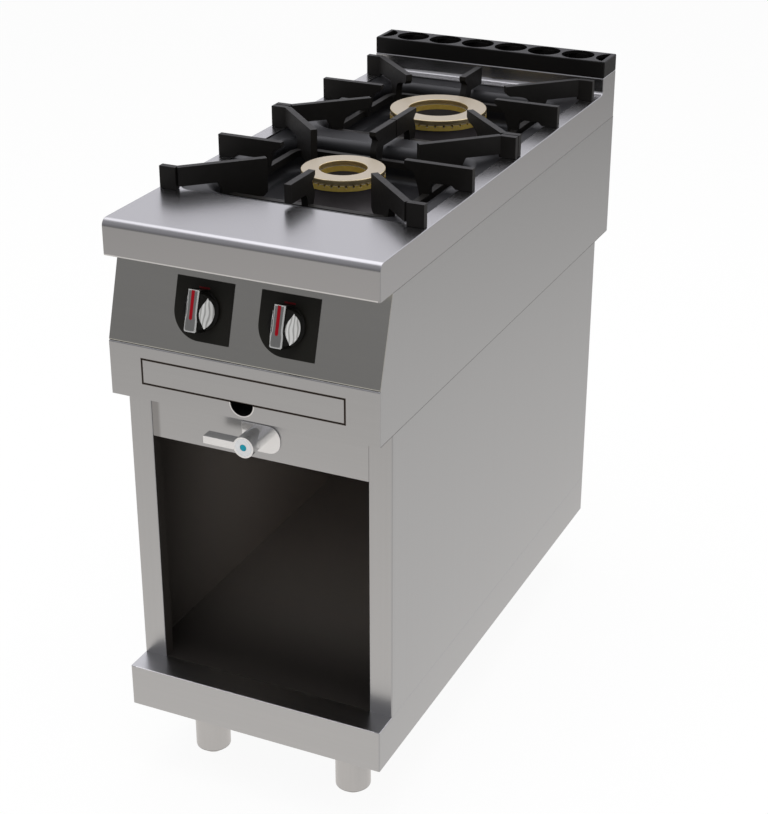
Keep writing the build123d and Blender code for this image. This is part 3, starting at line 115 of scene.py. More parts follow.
class NodeSheet:
    """A node tree under construction."""

    def __init__(self, tree: bpy.types.NodeTree) -> None:
        """Empties the tree.

        Args:
            tree: the tree to fill.
        """
        self.tree = tree
        tree.nodes.clear()

    def add(self, kind: str, **settings: object) -> bpy.types.Node:
        """Adds a node.

        Args:
            kind: the node's type name in Blender.
            settings: attributes to set on the node.

        Returns:
            The new node.
        """
        node = self.tree.nodes.new(kind)
        for name, value in settings.items():
            setattr(node, name, value)
        return node

    def join(self, source: Socket, target: Socket) -> None:
        """Links an output to an input."""
        self.tree.links.new(source, target)

    def math(self, operation: str, first: object, second: object = 0.0) -> Socket:
        """Adds a Math node.

        Args:
            operation: what the node works out.
            first: a socket or a number.
            second: a socket or a number.

        Returns:
            The node's output.
        """
        node = self.add("ShaderNodeMath", operation=operation)
        for place, value in enumerate((first, second)):
            if isinstance(value, Socket):
                self.join(value, node.inputs[place])
            else:
                node.inputs[place].default_value = value
        return node.outputs[0]

    def blend(self, share: Socket, low: object, high: object, kind: str = "RGBA") -> Socket:
        """Adds a Mix node.

        Args:
            share: the socket that says how much of high shows.
            low: a socket, colour or number, shown at 0.
            high: a socket, colour or number, shown at 1.
            kind: RGBA for colours or FLOAT for numbers.

        Returns:
            The mixed output.
        """
        node = self.add("ShaderNodeMix", data_type=kind)
        self.join(share, node.inputs[0])
        names = {"RGBA": (6, 7, 2), "FLOAT": (2, 3, 0)}[kind]
        for place, value in zip(names[:2], (low, high)):
            if isinstance(value, Socket):
                self.join(value, node.inputs[place])
            elif kind == "RGBA":
                node.inputs[place].default_value = (*value, 1.0)
            else:
                node.inputs[place].default_value = value
        return node.outputs[names[2]]

    def place(self, scale: Sequence[float] = (1.0, 1.0, 1.0)) -> Socket:
        """Adds object coordinates, stretched.

        Args:
            scale: factors along X, Y and Z.

        Returns:
            The coordinates' output.
        """
        coords = self.add("ShaderNodeTexCoord")
        mapping = self.add("ShaderNodeMapping")
        mapping.inputs["Scale"].default_value = scale
        self.join(coords.outputs["Object"], mapping.inputs["Vector"])
        return mapping.outputs["Vector"]

    def split(self, vector: Socket) -> Sequence[Socket]:
        """Adds a vector's three parts.

        Args:
            vector: what is taken apart.

        Returns:
            Its X, Y and Z.
        """
        node = self.add("ShaderNodeSeparateXYZ")
        self.join(vector, node.inputs[0])
        return node.outputs

    def facing_up(self) -> Socket:
        """Adds a mask that is 1 on level faces that look up."""
        normal = self.add("ShaderNodeNewGeometry").outputs["Normal"]
        return self.math("GREATER_THAN", self.split(normal)[2], LEVEL)

    def ray(self, kind: str) -> Socket:
        """Adds the mask of a kind of ray, such as Is Glossy Ray."""
        return self.add("ShaderNodeLightPath").outputs[kind]

    def noise(self, scale: float, detail: float = 3.0, stretch: Sequence[float] = (1.0, 1.0, 1.0)) -> Socket:
        """Adds noise on object coordinates.

        Args:
            scale: grains per metre.
            detail: octaves.
            stretch: factors along X, Y and Z.

        Returns:
            The noise, from 0 to 1.
        """
        node = self.add("ShaderNodeTexNoise")
        node.inputs["Scale"].default_value = scale
        node.inputs["Detail"].default_value = detail
        self.join(self.place(stretch), node.inputs["Vector"])
        return node.outputs["Fac"]

    def step(self, value: Socket, start: float, end: float, shape: str = "SMOOTHSTEP") -> Socket:
        """Adds a step from 0 at start to 1 at end.

        Args:
            value: what is compared.
            start: the value where the step begins.
            end: the value where it is complete.
            shape: SMOOTHSTEP or LINEAR.

        Returns:
            The step.
        """
        node = self.add("ShaderNodeMapRange", interpolation_type=shape)
        self.join(value, node.inputs["Value"])
        node.inputs["From Min"].default_value = start
        node.inputs["From Max"].default_value = end
        return node.outputs[0]

    def ramp(self, value: Socket, stops: Sequence[tuple[float, Colour]]) -> Socket:
        """Adds a colour ramp.

        Args:
            value: what is looked up, from 0 to 1.
            stops: pairs of a value and the colour there, in order.

        Returns:
            The colour's output.
        """
        node = self.add("ShaderNodeValToRGB")
        elements = node.color_ramp.elements
        while len(elements) < len(stops):
            elements.new(0.5)
        for element, (place, colour) in zip(elements, stops):
            element.position = place
            element.color = (*colour, 1.0)
        self.join(value, node.inputs[0])
        return node.outputs[0]

    def inside(self, box: Box) -> Socket:
        """Adds a mask that is 1 inside a box of object coordinates.

        Args:
            box: the box's lowest and highest corner.

        Returns:
            The mask.
        """
        along = self.split(self.place())
        mask: object = 1.0
        for axis, (low, high) in enumerate(zip(*box)):
            above = self.math("GREATER_THAN", along[axis], low)
            below = self.math("LESS_THAN", along[axis], high)
            mask = self.math("MULTIPLY", self.math("MULTIPLY", above, below), mask)
        return mask


def around(colour: Colour, share: float) -> tuple[Colour, Colour]:
    """A colour made darker and lighter by a share.

    Args:
        colour: the colour.
        share: how much darker and lighter.

    Returns:
        The darker and the lighter colour.
    """
    darker = tuple(channel * (1.0 - share) for channel in colour)
    lighter = tuple(min(1.0, channel * (1.0 + share)) for channel in colour)
    return darker, lighter


@dataclass(frozen=True)
class Finish:
    """A plain finish: one colour with slight mottling and a fine grain."""

    name: str
    colour: Colour
    metallic: float = 0.0
    roughness: float = 0.5
    mottle: float = 0.06
    mottle_scale: float = 40.0
    relief: float = 0.0
    relief_scale: float = 900.0
    specular: float = 0.5

    def colour_output(self, sheet: NodeSheet) -> Socket:
        """Adds the colour, a little darker and lighter in patches."""
        return sheet.blend(sheet.noise(self.mottle_scale), *around(self.colour, self.mottle))

    def roughness_output(self, sheet: NodeSheet) -> Socket:
        """Adds the roughness, a little uneven.

        Args:
            sheet: the material's tree.

        Returns:
            The roughness's output.
        """
        cloud = sheet.noise(self.mottle_scale * 2.0)
        low = self.roughness * (1 - self.mottle)
        high = self.roughness * (1 + self.mottle)
        return sheet.blend(cloud, low, high, "FLOAT")

    def extra(self, sheet: NodeSheet, shader: bpy.types.Node) -> None:
        """Adds what a kind of finish has beyond the plain one."""

    def build(self) -> bpy.types.Material:
        """Makes the material, once.

        Returns:
            The material.
        """
        name = self.name + "_finish"
        made = bpy.data.materials.get(name)
        if made:
            return made
        made = bpy.data.materials.new(name)
        made.use_nodes = True
        made.diffuse_color = (*self.colour, 1.0)
        sheet = NodeSheet(made.node_tree)
        shader = sheet.add("ShaderNodeBsdfPrincipled")
        output = sheet.add("ShaderNodeOutputMaterial")
        sheet.join(shader.outputs[0], output.inputs["Surface"])
        shader.inputs["Metallic"].default_value = self.metallic
        shader.inputs["Specular IOR Level"].default_value = self.specular
        sheet.join(self.colour_output(sheet), shader.inputs["Base Color"])
        sheet.join(self.roughness_output(sheet), shader.inputs["Roughness"])
        if self.relief:
            bump = sheet.add("ShaderNodeBump")
            bump.inputs["Distance"].default_value = self.relief
            sheet.join(sheet.noise(self.relief_scale), bump.inputs["Height"])
            sheet.join(bump.outputs[0], shader.inputs["Normal"])
        self.extra(sheet, shader)
        return made


@dataclass(frozen=True)
class BrushedSteel(Finish):
    """Stainless sheet, brushed along one direction, with a painted highlight or painted shade in one box of
    space, and painted shade that turns lighter further back in another.
    """

    metallic: float = 1.0
    roughness: float = 0.3
    grain: Grain = Grain.ALONG_X
    streak: float = 0.03
    rough_streak: float = 0.05
    # box of a painted band: a painted highlight in the bright default colour, painted shade where a low colour
    # is given
    edge: Optional[Box] = None
    edge_colour: Colour = (0.8, 0.79, 0.78)
    # box of painted shade: black at the front, painted lighter further back along Y, and not metal
    dark: Optional[Box] = None
    shade_colour: Colour = (0.032, 0.028, 0.025)
    depth_light_colour: Colour = (0.45, 0.4, 0.36)
    depth_light_span: tuple[float, float] = (-0.36, -0.02)

    def colour_output(self, sheet: NodeSheet) -> Socket:
        """Adds the sheet's colour with faint brush streaks, the painted highlight or shade of the edge box, and
        the painted shade inside.

        Args:
            sheet: the material's tree.

        Returns:
            The colour's output.
        """
        streaks = sheet.noise(1.0, BRUSH_OCTAVES, self.grain.value)
        steel = sheet.blend(streaks, *around(self.colour, self.streak))
        # painted highlight or painted shade in the edge box
        if self.edge:
            steel = sheet.blend(sheet.inside(self.edge), steel, self.edge_colour)
        # painted shade inside, lighter further back
        if self.dark:
            depth = sheet.step(sheet.split(sheet.place())[1], *self.depth_light_span)
            paint = sheet.blend(depth, self.shade_colour, self.depth_light_colour)
            steel = sheet.blend(sheet.inside(self.dark), steel, paint)
        return steel

    def roughness_output(self, sheet: NodeSheet) -> Socket:
        """Adds the roughness, streaked along the brushing.

        Args:
            sheet: the material's tree.

        Returns:
            The roughness's output.
        """
        streaks = sheet.noise(1.0, BRUSH_OCTAVES, self.grain.value)
        low = self.roughness * (1 - self.rough_streak)
        high = self.roughness * (1 + self.rough_streak)
        return sheet.blend(streaks, low, high, "FLOAT")

    def extra(self, sheet: NodeSheet, shader: bpy.types.Node) -> None:
        """Makes the painted shade inside dull, not metal.

        Args:
            sheet: the material's tree.
            shader: the finish's main shader.
        """
        if self.dark:
            metal = sheet.blend(sheet.inside(self.dark), self.metallic, 0.0, "FLOAT")
            sheet.join(metal, shader.inputs["Metallic"])


@dataclass(frozen=True)
class SlottedSteel(BrushedSteel):
    """Stainless sheet with painted shade between two boxes, one in the other, and a painted highlight round a
    notch.
    """

    outer: Box = ((0.0, 0.0, 0.0), (0.0, 0.0, 0.0))
    inner: Box = ((0.0, 0.0, 0.0), (0.0, 0.0, 0.0))
    # painted shade in the band around the drawer's gap
    gap_shade_colour: Colour = (0.08, 0.066, 0.057)
    notch_height: float = 0.0
    # reach of the painted highlight below the finger notch
    notch_highlight_reach: float = 18.5 * MM

    def colour_output(self, sheet: NodeSheet) -> Socket:
        """Adds the sheet's colour, the painted highlight below the finger notch, and the painted shade around
        the gap.

        Args:
            sheet: the material's tree.

        Returns:
            The colour's output.
        """
        steel = super().colour_output(sheet)
        # painted highlight below the finger notch
        across, _, height = sheet.split(sheet.place())
        rise = sheet.math("SUBTRACT", height, self.notch_height)
        square = sheet.math("ADD", sheet.math("MULTIPLY", rise, rise), sheet.math("POWER", across, 2.0))
        near = sheet.math("LESS_THAN", sheet.math("SQRT", square), self.notch_highlight_reach)
        rim = sheet.math("MULTIPLY", near, sheet.math("LESS_THAN", rise, 0.0))
        steel = sheet.blend(rim, steel, self.edge_colour)
        # painted shade between the two boxes
        gap = sheet.math("SUBTRACT", sheet.inside(self.outer), sheet.inside(self.inner))
        return sheet.blend(gap, steel, self.gap_shade_colour)


@dataclass(frozen=True)
class RailSteel(BrushedSteel):
    """The rail's sheet, with a band of painted shade by the left post."""

    # painted shade by the left post: where it starts, is full and has faded out along X
    post_shade: tuple[float, float, float] = (-0.1645, -0.1565, -0.1505)
    post_shade_colour: Colour = (0.3, 0.294, 0.29)

    def colour_output(self, sheet: NodeSheet) -> Socket:
        """Adds the sheet's colour and the band of painted shade, which fades out to the right.

        Args:
            sheet: the material's tree.

        Returns:
            The colour's output.
        """
        steel = super().colour_output(sheet)
        across = sheet.split(sheet.place())[0]
        # painted shade, full from the first X and fading out by the last
        start, full, end = self.post_shade
        inside = sheet.math("GREATER_THAN", across, start)
        post_shade = sheet.math("MULTIPLY", inside, sheet.step(across, end, full))
        return sheet.blend(post_shade, steel, self.post_shade_colour)


@dataclass(frozen=True)
class PolishedSill(BrushedSteel):
    """Stainless sheet whose level faces are polished, so that they mirror what stands on them."""

    polish: float = 0.3

    def roughness_output(self, sheet: NodeSheet) -> Socket:
        """Adds a low roughness on level faces and the brushed one elsewhere."""
        return sheet.blend(sheet.facing_up(), super().roughness_output(sheet), self.polish, "FLOAT")


@dataclass(frozen=True)
class BurnerBrass(Finish):
    """Brass that is bare on its sides and pale on its level top."""

    metallic: float = 1.0
    roughness: float = 0.32
    top_colour: Colour = (0.35, 0.3, 0.23)
    top_metallic: float = 0.25

    def colour_output(self, sheet: NodeSheet) -> Socket:
        """Adds the brass, and the pale top where the face looks up."""
        return sheet.blend(sheet.facing_up(), super().colour_output(sheet), self.top_colour)

    def extra(self, sheet: NodeSheet, shader: bpy.types.Node) -> None:
        """Makes the pale top less metallic than the sides."""
        metal = sheet.blend(sheet.facing_up(), self.metallic, self.top_metallic, "FLOAT")
        sheet.join(metal, shader.inputs["Metallic"])


@dataclass(frozen=True)
class LeafFoil(Finish):
    """Bright foil with a few wavy grey streaks along its length."""

    streak_colour: Colour = (0.4, 0.4, 0.39)
    streaks_per_metre: float = 330.0
    streak_width: float = 0.55
    waviness: float = 6.0
    wave_detail: float = 0.5
    wave_stretch: tuple[float, float, float] = (1.0, 0.4, 0.4)

    def colour_output(self, sheet: NodeSheet) -> Socket:
        """Adds the wavy streaks.

        Args:
            sheet: the material's tree.

        Returns:
            The colour's output.
        """
        wave = sheet.add("ShaderNodeTexWave", bands_direction="X", wave_profile="SIN")
        wave.inputs["Scale"].default_value = self.streaks_per_metre * math.tau / 20.0
        wave.inputs["Distortion"].default_value = self.waviness
        wave.inputs["Detail"].default_value = self.wave_detail
        wave.inputs["Detail Scale"].default_value = 1.0
        sheet.join(sheet.place(self.wave_stretch), wave.inputs["Vector"])
        stops = ((0.0, self.streak_colour), (self.streak_width, self.colour))
        return sheet.ramp(wave.outputs["Fac"], stops)


@dataclass(frozen=True)
class Finishes:
    """Every finish of the range."""

    steel_x: Finish = BrushedSteel("steel_brushed_x", (0.45, 0.45, 0.45), grain=Grain.ALONG_X)
    steel_z: Finish = BrushedSteel("steel_brushed_z", (0.45, 0.45, 0.45), grain=Grain.ALONG_Z)
    steel_y: Finish = BrushedSteel("steel_brushed_y", (0.45, 0.45, 0.45), grain=Grain.ALONG_Y)
    worktop: Finish = BrushedSteel(
        "steel_worktop", (0.456, 0.452, 0.453), roughness=0.27,
        grain=Grain.PRESSED, streak=0.008, rough_streak=0.02,
    )
    panel: Finish = BrushedSteel("steel_panel", (0.492, 0.485, 0.441), roughness=0.24)
    drawn: Finish = BrushedSteel("steel_drawn_tube", (0.47, 0.465, 0.46), grain=Grain.ALONG_Z)
    zinc: Finish = Finish(
        "zinc_plate", (0.42, 0.43, 0.44), metallic=1.0, roughness=0.42, mottle=0.12, mottle_scale=120
    )
    enamel: Finish = Finish(
        "pan_enamel", (0.0095, 0.0095, 0.0105), roughness=0.42, mottle=0.1,
        relief=0.02 * MM, relief_scale=600, specular=0.31,
    )
    cast: Finish = Finish(
        "cast_iron_black", (0.0078, 0.0071, 0.0063), mottle=0.18, mottle_scale=90,
        relief=0.05 * MM, specular=0.2,
    )
    burner_cast: Finish = Finish(
        "cast_iron_burner", (0.045, 0.04, 0.042), roughness=0.42, mottle=0.15, mottle_scale=90,
        relief=0.04 * MM,
    )
    flue_black: Finish = Finish(
        "flue_cover_black", (0.0055, 0.0052, 0.005), roughness=0.42, mottle=0.12, mottle_scale=70,
        relief=0.03 * MM, specular=0.15,
    )
    brass_crown: Finish = BurnerBrass(
        "brass_crown", (0.86, 0.63, 0.15), metallic=0.78, roughness=0.42, mottle=0.12, mottle_scale=160
    )
    brass_cap: Finish = BurnerBrass(
        "brass_cap", (0.66, 0.54, 0.3), roughness=0.38, mottle=0.1, mottle_scale=160
    )
    brass_fitting: Finish = Finish(
        "brass_fitting", (0.6, 0.44, 0.2), metallic=1.0, roughness=0.28, mottle=0.08
    )
    gas_tube: Finish = Finish("aluminium_tube", (0.6, 0.61, 0.62), metallic=1.0, roughness=0.32)
    copper: Finish = Finish("copper_tube", (0.62, 0.32, 0.2), metallic=1.0, roughness=0.3, mottle=0.12)
    chrome: Finish = Finish("tap_chrome", (0.8, 0.795, 0.79), metallic=0.86, roughness=0.17, mottle=0.03)
    knob_black: Finish = Finish(
        "knob_black", (0.0075, 0.0073, 0.0064), roughness=0.3, mottle=0.05, specular=0.15
    )
    bezel_black: Finish = Finish("bezel_black", (0.0138, 0.0133, 0.0112), roughness=0.36, specular=0.1)
    grip_edge: Finish = Finish(
        "grip_edge_bright", (0.5, 0.5, 0.49), metallic=0.3, roughness=0.25, mottle=0.03
    )
    grip_face: Finish = Finish(
        "grip_face_satin", (0.185, 0.185, 0.181), metallic=0.5, roughness=0.35, mottle=0.05
    )
    leaf: Finish = LeafFoil("leaf_foil", (0.8, 0.8, 0.79), metallic=0.15, roughness=0.22)
    red: Finish = Finish("mark_red", (0.27, 0.0, 0.006), roughness=0.4, mottle=0.05, specular=0.15)
    dark_red: Finish = Finish("mark_dark_red", (0.1, 0.001, 0.003), roughness=0.4, mottle=0.05, specular=0.15)
    index_blue: Finish = Finish("index_blue", (0.004, 0.3, 0.4), roughness=0.25, mottle=0.04, specular=0.2)
    index_white: Finish = Finish("index_white", (0.72, 0.73, 0.74), roughness=0.3, mottle=0.03)
    # painted shade of the driver recesses in the screw heads
    recess_shade: Finish = Finish("port_soot", (0.02, 0.014, 0.006), roughness=0.6, mottle=0.2)


@dataclass
class Dresser:
    """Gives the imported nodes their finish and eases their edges."""

    nodes: dict[str, bpy.types.Object]
    merge: float = 0.005 * MM
    flat_angle: float = 0.6
    sharp_angle: float = 32.0
    edge_rings: int = 2

    def dress(self, names: Iterable[str], finish: Finish, edge: Edge = Edge.SHARP) -> None:
        """Gives nodes a finish, smooth round stretches and eased edges.

        Args:
            names: the nodes.
            finish: what they are made of.
            edge: how wide their edges are eased.
        """
        for name in names:
            piece = self.nodes[name]
            piece.data.materials.clear()
            piece.data.materials.append(finish.build())
            for polygon in piece.data.polygons:
                polygon.use_smooth = True
                polygon.material_index = 0
            weld = piece.modifiers.new("weld", "WELD")
            weld.merge_threshold = self.merge
            level = piece.modifiers.new("whole_faces", "DECIMATE")
            level.decimate_type = "DISSOLVE"
            level.angle_limit = math.radians(self.flat_angle)
            if edge is not Edge.SHARP:
                bevel = piece.modifiers.new("eased_edges", "BEVEL")
                bevel.width = edge.value
                bevel.segments = self.edge_rings
                bevel.limit_method = "ANGLE"
                bevel.angle_limit = math.radians(self.sharp_angle)
                bevel.use_clamp_overlap = True
            else:
                split = piece.modifiers.new("sharp_edges", "EDGE_SPLIT")
                split.split_angle = math.radians(self.sharp_angle)
            shade = piece.modifiers.new("face_shading", "WEIGHTED_NORMAL")
            shade.mode = "FACE_AREA"
            shade.weight = 100
            shade.keep_sharp = True
            LOG.info("dressed %s in %s", name, finish.name)


def add_piece(name: str, mesh: bpy.types.Mesh, body: str) -> bpy.types.Object:
    """Adds a finished mesh to the scene as a piece of the range.

    Args:
        name: the piece's name.
        mesh: its mesh, in the frame's own place.
        body: the body that the piece rides on.

    Returns:
        The piece.
    """
    piece = bpy.data.objects.new(name, mesh)
    bpy.context.scene.collection.objects.link(piece)
    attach(piece, body)
    LOG.info("made %s: %d faces", name, len(mesh.polygons))
    return piece


def mesh_of(name: str, points: Sequence, faces: Sequence, finish: Finish) -> bpy.types.Mesh:
    """A mesh from points and faces.

    Args:
        name: the mesh's name.
        points: its corners.
        faces: its faces, as places in points.
        finish: what it is made of.

    Returns:
        The mesh.
    """
    mesh = bpy.data.meshes.new(name)
    mesh.from_pydata(points, [], faces)
    mesh.materials.append(finish.build())
    return mesh


@dataclass(frozen=True)
class Plate:
    """A thin plate cut to an anticlockwise outline, between two heights above a plane."""

    outline: Outline
    low: float
    high: float
    finish: Finish

    def add(self, name: str, frame: Matrix, body: str, slot: Optional[str] = None) -> bpy.types.Object:
        """Makes the plate a piece of the range.

        Args:
            name: the piece's name.
            frame: the plane's place, with Z as its normal.
            body: the body that the piece rides on.
            slot: the record's material slot, where it has one for the piece; not used.

        Returns:
            The piece.
        """
        count = len(self.outline)
        points = [frame @ Vector((x, y, z)) for z in (self.low, self.high) for x, y in self.outline]
        faces = [tuple(range(count - 1, -1, -1)), tuple(range(count, 2 * count))]
        faces += [(i, (i + 1) % count, (i + 1) % count + count, i + count) for i in range(count)]
        return add_piece(name, mesh_of(name, points, faces, self.finish), body)


@dataclass(frozen=True)
class Arc:
    """An arc in a plane, from one angle in degrees to another."""

    centre: tuple[float, float]
    radius: float
    start: float
    end: float
    steps: int

    def points(self) -> Outline:
        """Works out the points on the arc.

        Returns:
            The points, both ends included.
        """
        x, y = self.centre
        turn = self.end - self.start
        angles = [math.radians(self.start + turn * i / self.steps) for i in range(self.steps + 1)]
        return [(x + self.radius * math.cos(a), y + self.radius * math.sin(a)) for a in angles]


class RepeatTree:
    """A geometry node tree that sets one small shape on a row or a grid of points."""

    def __init__(self, name: str) -> None:
        """Starts the tree with its output.

        Args:
            name: the tree's name.
        """
        self.tree = bpy.data.node_groups.new(name, "GeometryNodeTree")
        self.sheet = NodeSheet(self.tree)
        self.tree.interface.new_socket("Geometry", in_out="OUTPUT", socket_type="NodeSocketGeometry")
        self.inputs = self.sheet.add("NodeGroupInput")
        self.output = self.sheet.add("NodeGroupOutput")

    def size(self, name: str, kind: str = "NodeSocketFloat") -> Socket:
        """Adds a named input.

        Args:
            name: what the input is called.
            kind: the socket's type.

        Returns:
            The socket to link from.
        """
        self.tree.interface.new_socket(name, in_out="INPUT", socket_type=kind)
        return self.inputs.outputs[name]

    def fed(self, kind: str, sources: dict[object, Socket], **settings: object) -> bpy.types.Node:
        """Adds a node with its inputs linked.

        Args:
            kind: the node's type name in Blender.
            sources: outputs to link, by the input's name or number.
            settings: attributes to set on the node.

        Returns:
            The new node.
        """
        node = self.sheet.add(kind, **settings)
        for target, source in sources.items():
            self.sheet.join(source, node.inputs[target])
        return node

    def circle(self, radius: Socket, sides: int) -> Socket:
        """Adds a circle of straight sides.

        Args:
            radius: the circle's radius.
            sides: how many sides it has.

        Returns:
            The circle.
        """
        node = self.fed("GeometryNodeCurvePrimitiveCircle", {"Radius": radius})
        node.inputs["Resolution"].default_value = sides
        return node.outputs[0]

    def repeat(self, points: Socket, shape: Socket, finish: Finish) -> None:
        """Ends the tree in the shape on every point, realised and with its material.

        Args:
            points: where the copies go.
            shape: what is copied.
            finish: what the copies are made of.
        """
        spread = self.fed("GeometryNodeInstanceOnPoints", {"Points": points, "Instance": shape})
        real = self.fed("GeometryNodeRealizeInstances", {0: spread.outputs[0]})
        paint = self.fed("GeometryNodeSetMaterial", {"Geometry": real.outputs[0]})
        paint.inputs["Material"].default_value = finish.build()
        self.sheet.join(paint.outputs[0], self.output.inputs[0])

    def bake(self, name: str, values: dict[str, object], frame: Matrix, slot: str) -> None:
        """Runs the tree once and adds its result as a plain piece of the fixed body.

        Args:
            name: the piece's name.
            values: the inputs, by name.
            frame: where the tree's own origin goes.
            slot: the record's material slot; not used.
        """
        holder = bpy.data.objects.new(name + "_holder", bpy.data.meshes.new(name + "_holder"))
        bpy.context.scene.collection.objects.link(holder)
        modifier = holder.modifiers.new("repeat", "NODES")
        modifier.node_group = self.tree
        for item in self.tree.interface.items_tree:
            if item.in_out == "INPUT":
                modifier[item.identifier] = values[item.name]
        bpy.context.view_layer.update()
        evaluated = holder.evaluated_get(bpy.context.evaluated_depsgraph_get())
        mesh = bpy.data.meshes.new_from_object(evaluated)
        mesh.name = name
        mesh.transform(frame)
        holder.modifiers.clear()
        bpy.data.objects.remove(holder)
        add_piece(name, mesh, "range")


def thread_tree(finish: Finish) -> RepeatTree:
    """Makes the tree of a pipe thread's ridges, stacked down from its origin.

    Args:
        finish: the thread's finish.

    Returns:
        The tree, with inputs Count, Pitch, Radius and Ridge.
    """
    tree = RepeatTree("inlet_threads")
    count = tree.size("Count", "NodeSocketInt")
    pitch = tree.size("Pitch")
    turn = tree.circle(tree.size("Radius"), sides=40)
    section = tree.circle(tree.size("Ridge"), sides=4)
    down = tree.fed("ShaderNodeCombineXYZ", {2: tree.sheet.math("MULTIPLY", pitch, -1.0)})
    row = tree.fed("GeometryNodeMeshLine", {"Count": count, "Offset": down.outputs[0]}, mode="OFFSET")
    sweep = tree.fed("GeometryNodeCurveToMesh", {"Curve": turn, "Profile Curve": section})
    tree.repeat(row.outputs[0], sweep.outputs[0], finish)
    return tree


def recess_tree(finish: Finish) -> RepeatTree:
    """Makes the tree of crossed driver recesses, in two columns and some rows on a plane.

    Args:
        finish: the recesses' finish.

    Returns:
        The tree, with inputs Columns Apart, Rows Apart, Rows, Slot Length, Slot Width and Depth.
    """
    tree = RepeatTree("screw_recesses")
    columns_apart = tree.size("Columns Apart")
    rows_apart = tree.size("Rows Apart")
    rows = tree.size("Rows", "NodeSocketInt")
    length = tree.size("Slot Length")
    width = tree.size("Slot Width")
    depth = tree.size("Depth")
    height = tree.sheet.math("MULTIPLY", rows_apart, tree.sheet.math("SUBTRACT", rows, 1.0))
    grid = tree.fed("GeometryNodeMeshGrid", {"Size X": columns_apart, "Size Y": height, "Vertices Y": rows})
    grid.inputs["Vertices X"].default_value = 2
    cross = tree.sheet.add("GeometryNodeJoinGeometry")
    for long_side, short_side in ((length, width), (width, length)):
        size = tree.fed("ShaderNodeCombineXYZ", {0: long_side, 1: short_side, 2: depth})
        slot = tree.fed("GeometryNodeMeshCube", {"Size": size.outputs[0]})
        tree.sheet.join(slot.outputs["Mesh"], cross.inputs[0])
    tree.repeat(grid.outputs["Mesh"], cross.outputs[0], finish)
    return tree


@dataclass
class Stand:
    """The plinth, the side sheets with their posts, the rail, the rear sheet, and the legs."""

    dresser: Dresser
    finishes: Finishes
    sheet: float = 1.5 * MM
    # where the painted shade of the compartment begins, past the sheets' faces
    paint_behind_post: float = 1.8 * MM
    paint_inside: float = 0.6 * MM
    paint_below: float = 0.3 * MM
    paint_above: float = 1.05 * MM
    rail_face: float = 0.9 * MM
    sill_paint_depth: float = 0.75 * MM
    # painted shade on the plinth's top inside the compartment: black at the front, lighter further back
    sill_shade_colour: Colour = (0.024, 0.0215, 0.02)
    sill_depth_light_colour: Colour = (0.4, 0.36, 0.33)
    # painted highlight along the plinth's front top edge
    sill_highlight_inset: float = 8.0 * MM
    sill_highlight_height: float = 0.9 * MM
    sill_highlight_depth: float = 1.05 * MM
    screw_head: float = 9.0 * MM
    screw_rows: int = 4
    slot_length: float = 4.2 * MM
    slot_width: float = 0.9 * MM
    slot_depth: float = 0.12 * MM

    def lined(self, name: str) -> Finish:
        """Stainless on the outside and painted shade on the compartment's side, black at the front and lighter
        further back.

        Args:
            name: the material's name.

        Returns:
            The finish.
        """
        low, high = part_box("cabinet_side_left")
        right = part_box("cabinet_side_right")[1].x - self.paint_inside
        front_low = (-right, low.y + self.paint_behind_post, low.z - self.paint_below)
        rear_high = (right, high.y - self.paint_inside, high.z + self.paint_above)
        return replace(self.finishes.steel_z, name=name, dark=(front_low, rear_high))

    def lined_rail(self) -> RailSteel:
        """The rail's finish: bright in front and painted shade, black, behind.

        Returns:
            The finish.
        """
        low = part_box("cabinet_rail")[0]
        behind = (-REACH, low.y + self.rail_face, -REACH)
        return RailSteel("steel_rail", self.finishes.steel_x.colour, dark=(behind, (REACH, REACH, REACH)))

    def sill(self) -> PolishedSill:
        """The plinth's finish: its top is polished, with a painted highlight along its front edge and painted
        shade further in.

        Returns:
            The finish.
        """
        low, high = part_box("plinth")
        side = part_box("cabinet_side_left")[0]
        # painted shade on the plinth's top inside the compartment
        black_low = (low.x + self.sheet, side.y + self.sheet, high.z - self.sill_paint_depth)
        black_high = (high.x - self.sheet, high.y - self.sheet, REACH)
        # painted highlight along the front edge
        highlight_low = (side.x + self.sill_highlight_inset, -REACH, high.z - self.sill_highlight_height)
        highlight_high = (-side.x - self.sill_highlight_inset, low.y + self.sill_highlight_depth, REACH)
        return PolishedSill(
            "steel_plinth",
            self.finishes.steel_x.colour,
            dark=(black_low, black_high),
            shade_colour=self.sill_shade_colour,
            depth_light_colour=self.sill_depth_light_colour,
            edge=(highlight_low, highlight_high),
        )

    def screw_recesses(self) -> None:
        """Sets the driver recesses in the rear sheet's screw heads, as thin crosses in painted shade."""
        low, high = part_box("back_screws")
        middle = Vector(((low.x + high.x) / 2, high.y, (low.z + high.z) / 2))
        facing_back = Matrix.Translation(middle) @ Matrix.Rotation(math.radians(90), 4, "X")
        values = {
            "Columns Apart": high.x - low.x - self.screw_head,
            "Rows Apart": (high.z - low.z - self.screw_head) / (self.screw_rows - 1),
            "Rows": self.screw_rows,
            "Slot Length": self.slot_length,
            "Slot Width": self.slot_width,
            "Depth": self.slot_depth,
        }
        recess_tree(self.finishes.recess_shade).bake("back_screw_recesses", values, facing_back, "zinc_steel")

    def build(self) -> None:
        """Dresses the stand and adds its small pieces."""
        dress = self.dresser.dress
        dress(["cabinet_side_left", "cabinet_side_right"], self.lined("steel_stand_side"), Edge.SIDE)
        dress(["cabinet_rail"], self.lined_rail(), Edge.SHEET)
        dress(["cabinet_back"], self.lined("steel_stand_rear"), Edge.SHEET)
        dress(["plinth"], self.sill(), Edge.TUBE)
        feet = [f"foot_{row}_{side.name.lower()}" for row in ("front", "rear") for side in Side]
        dress(["leg_sleeves", *feet], self.finishes.drawn, Edge.TUBE)
        dress(["leg_bearers", "leg_bolts", "back_screws"], self.finishes.zinc, Edge.ZINC)
        self.screw_recesses()


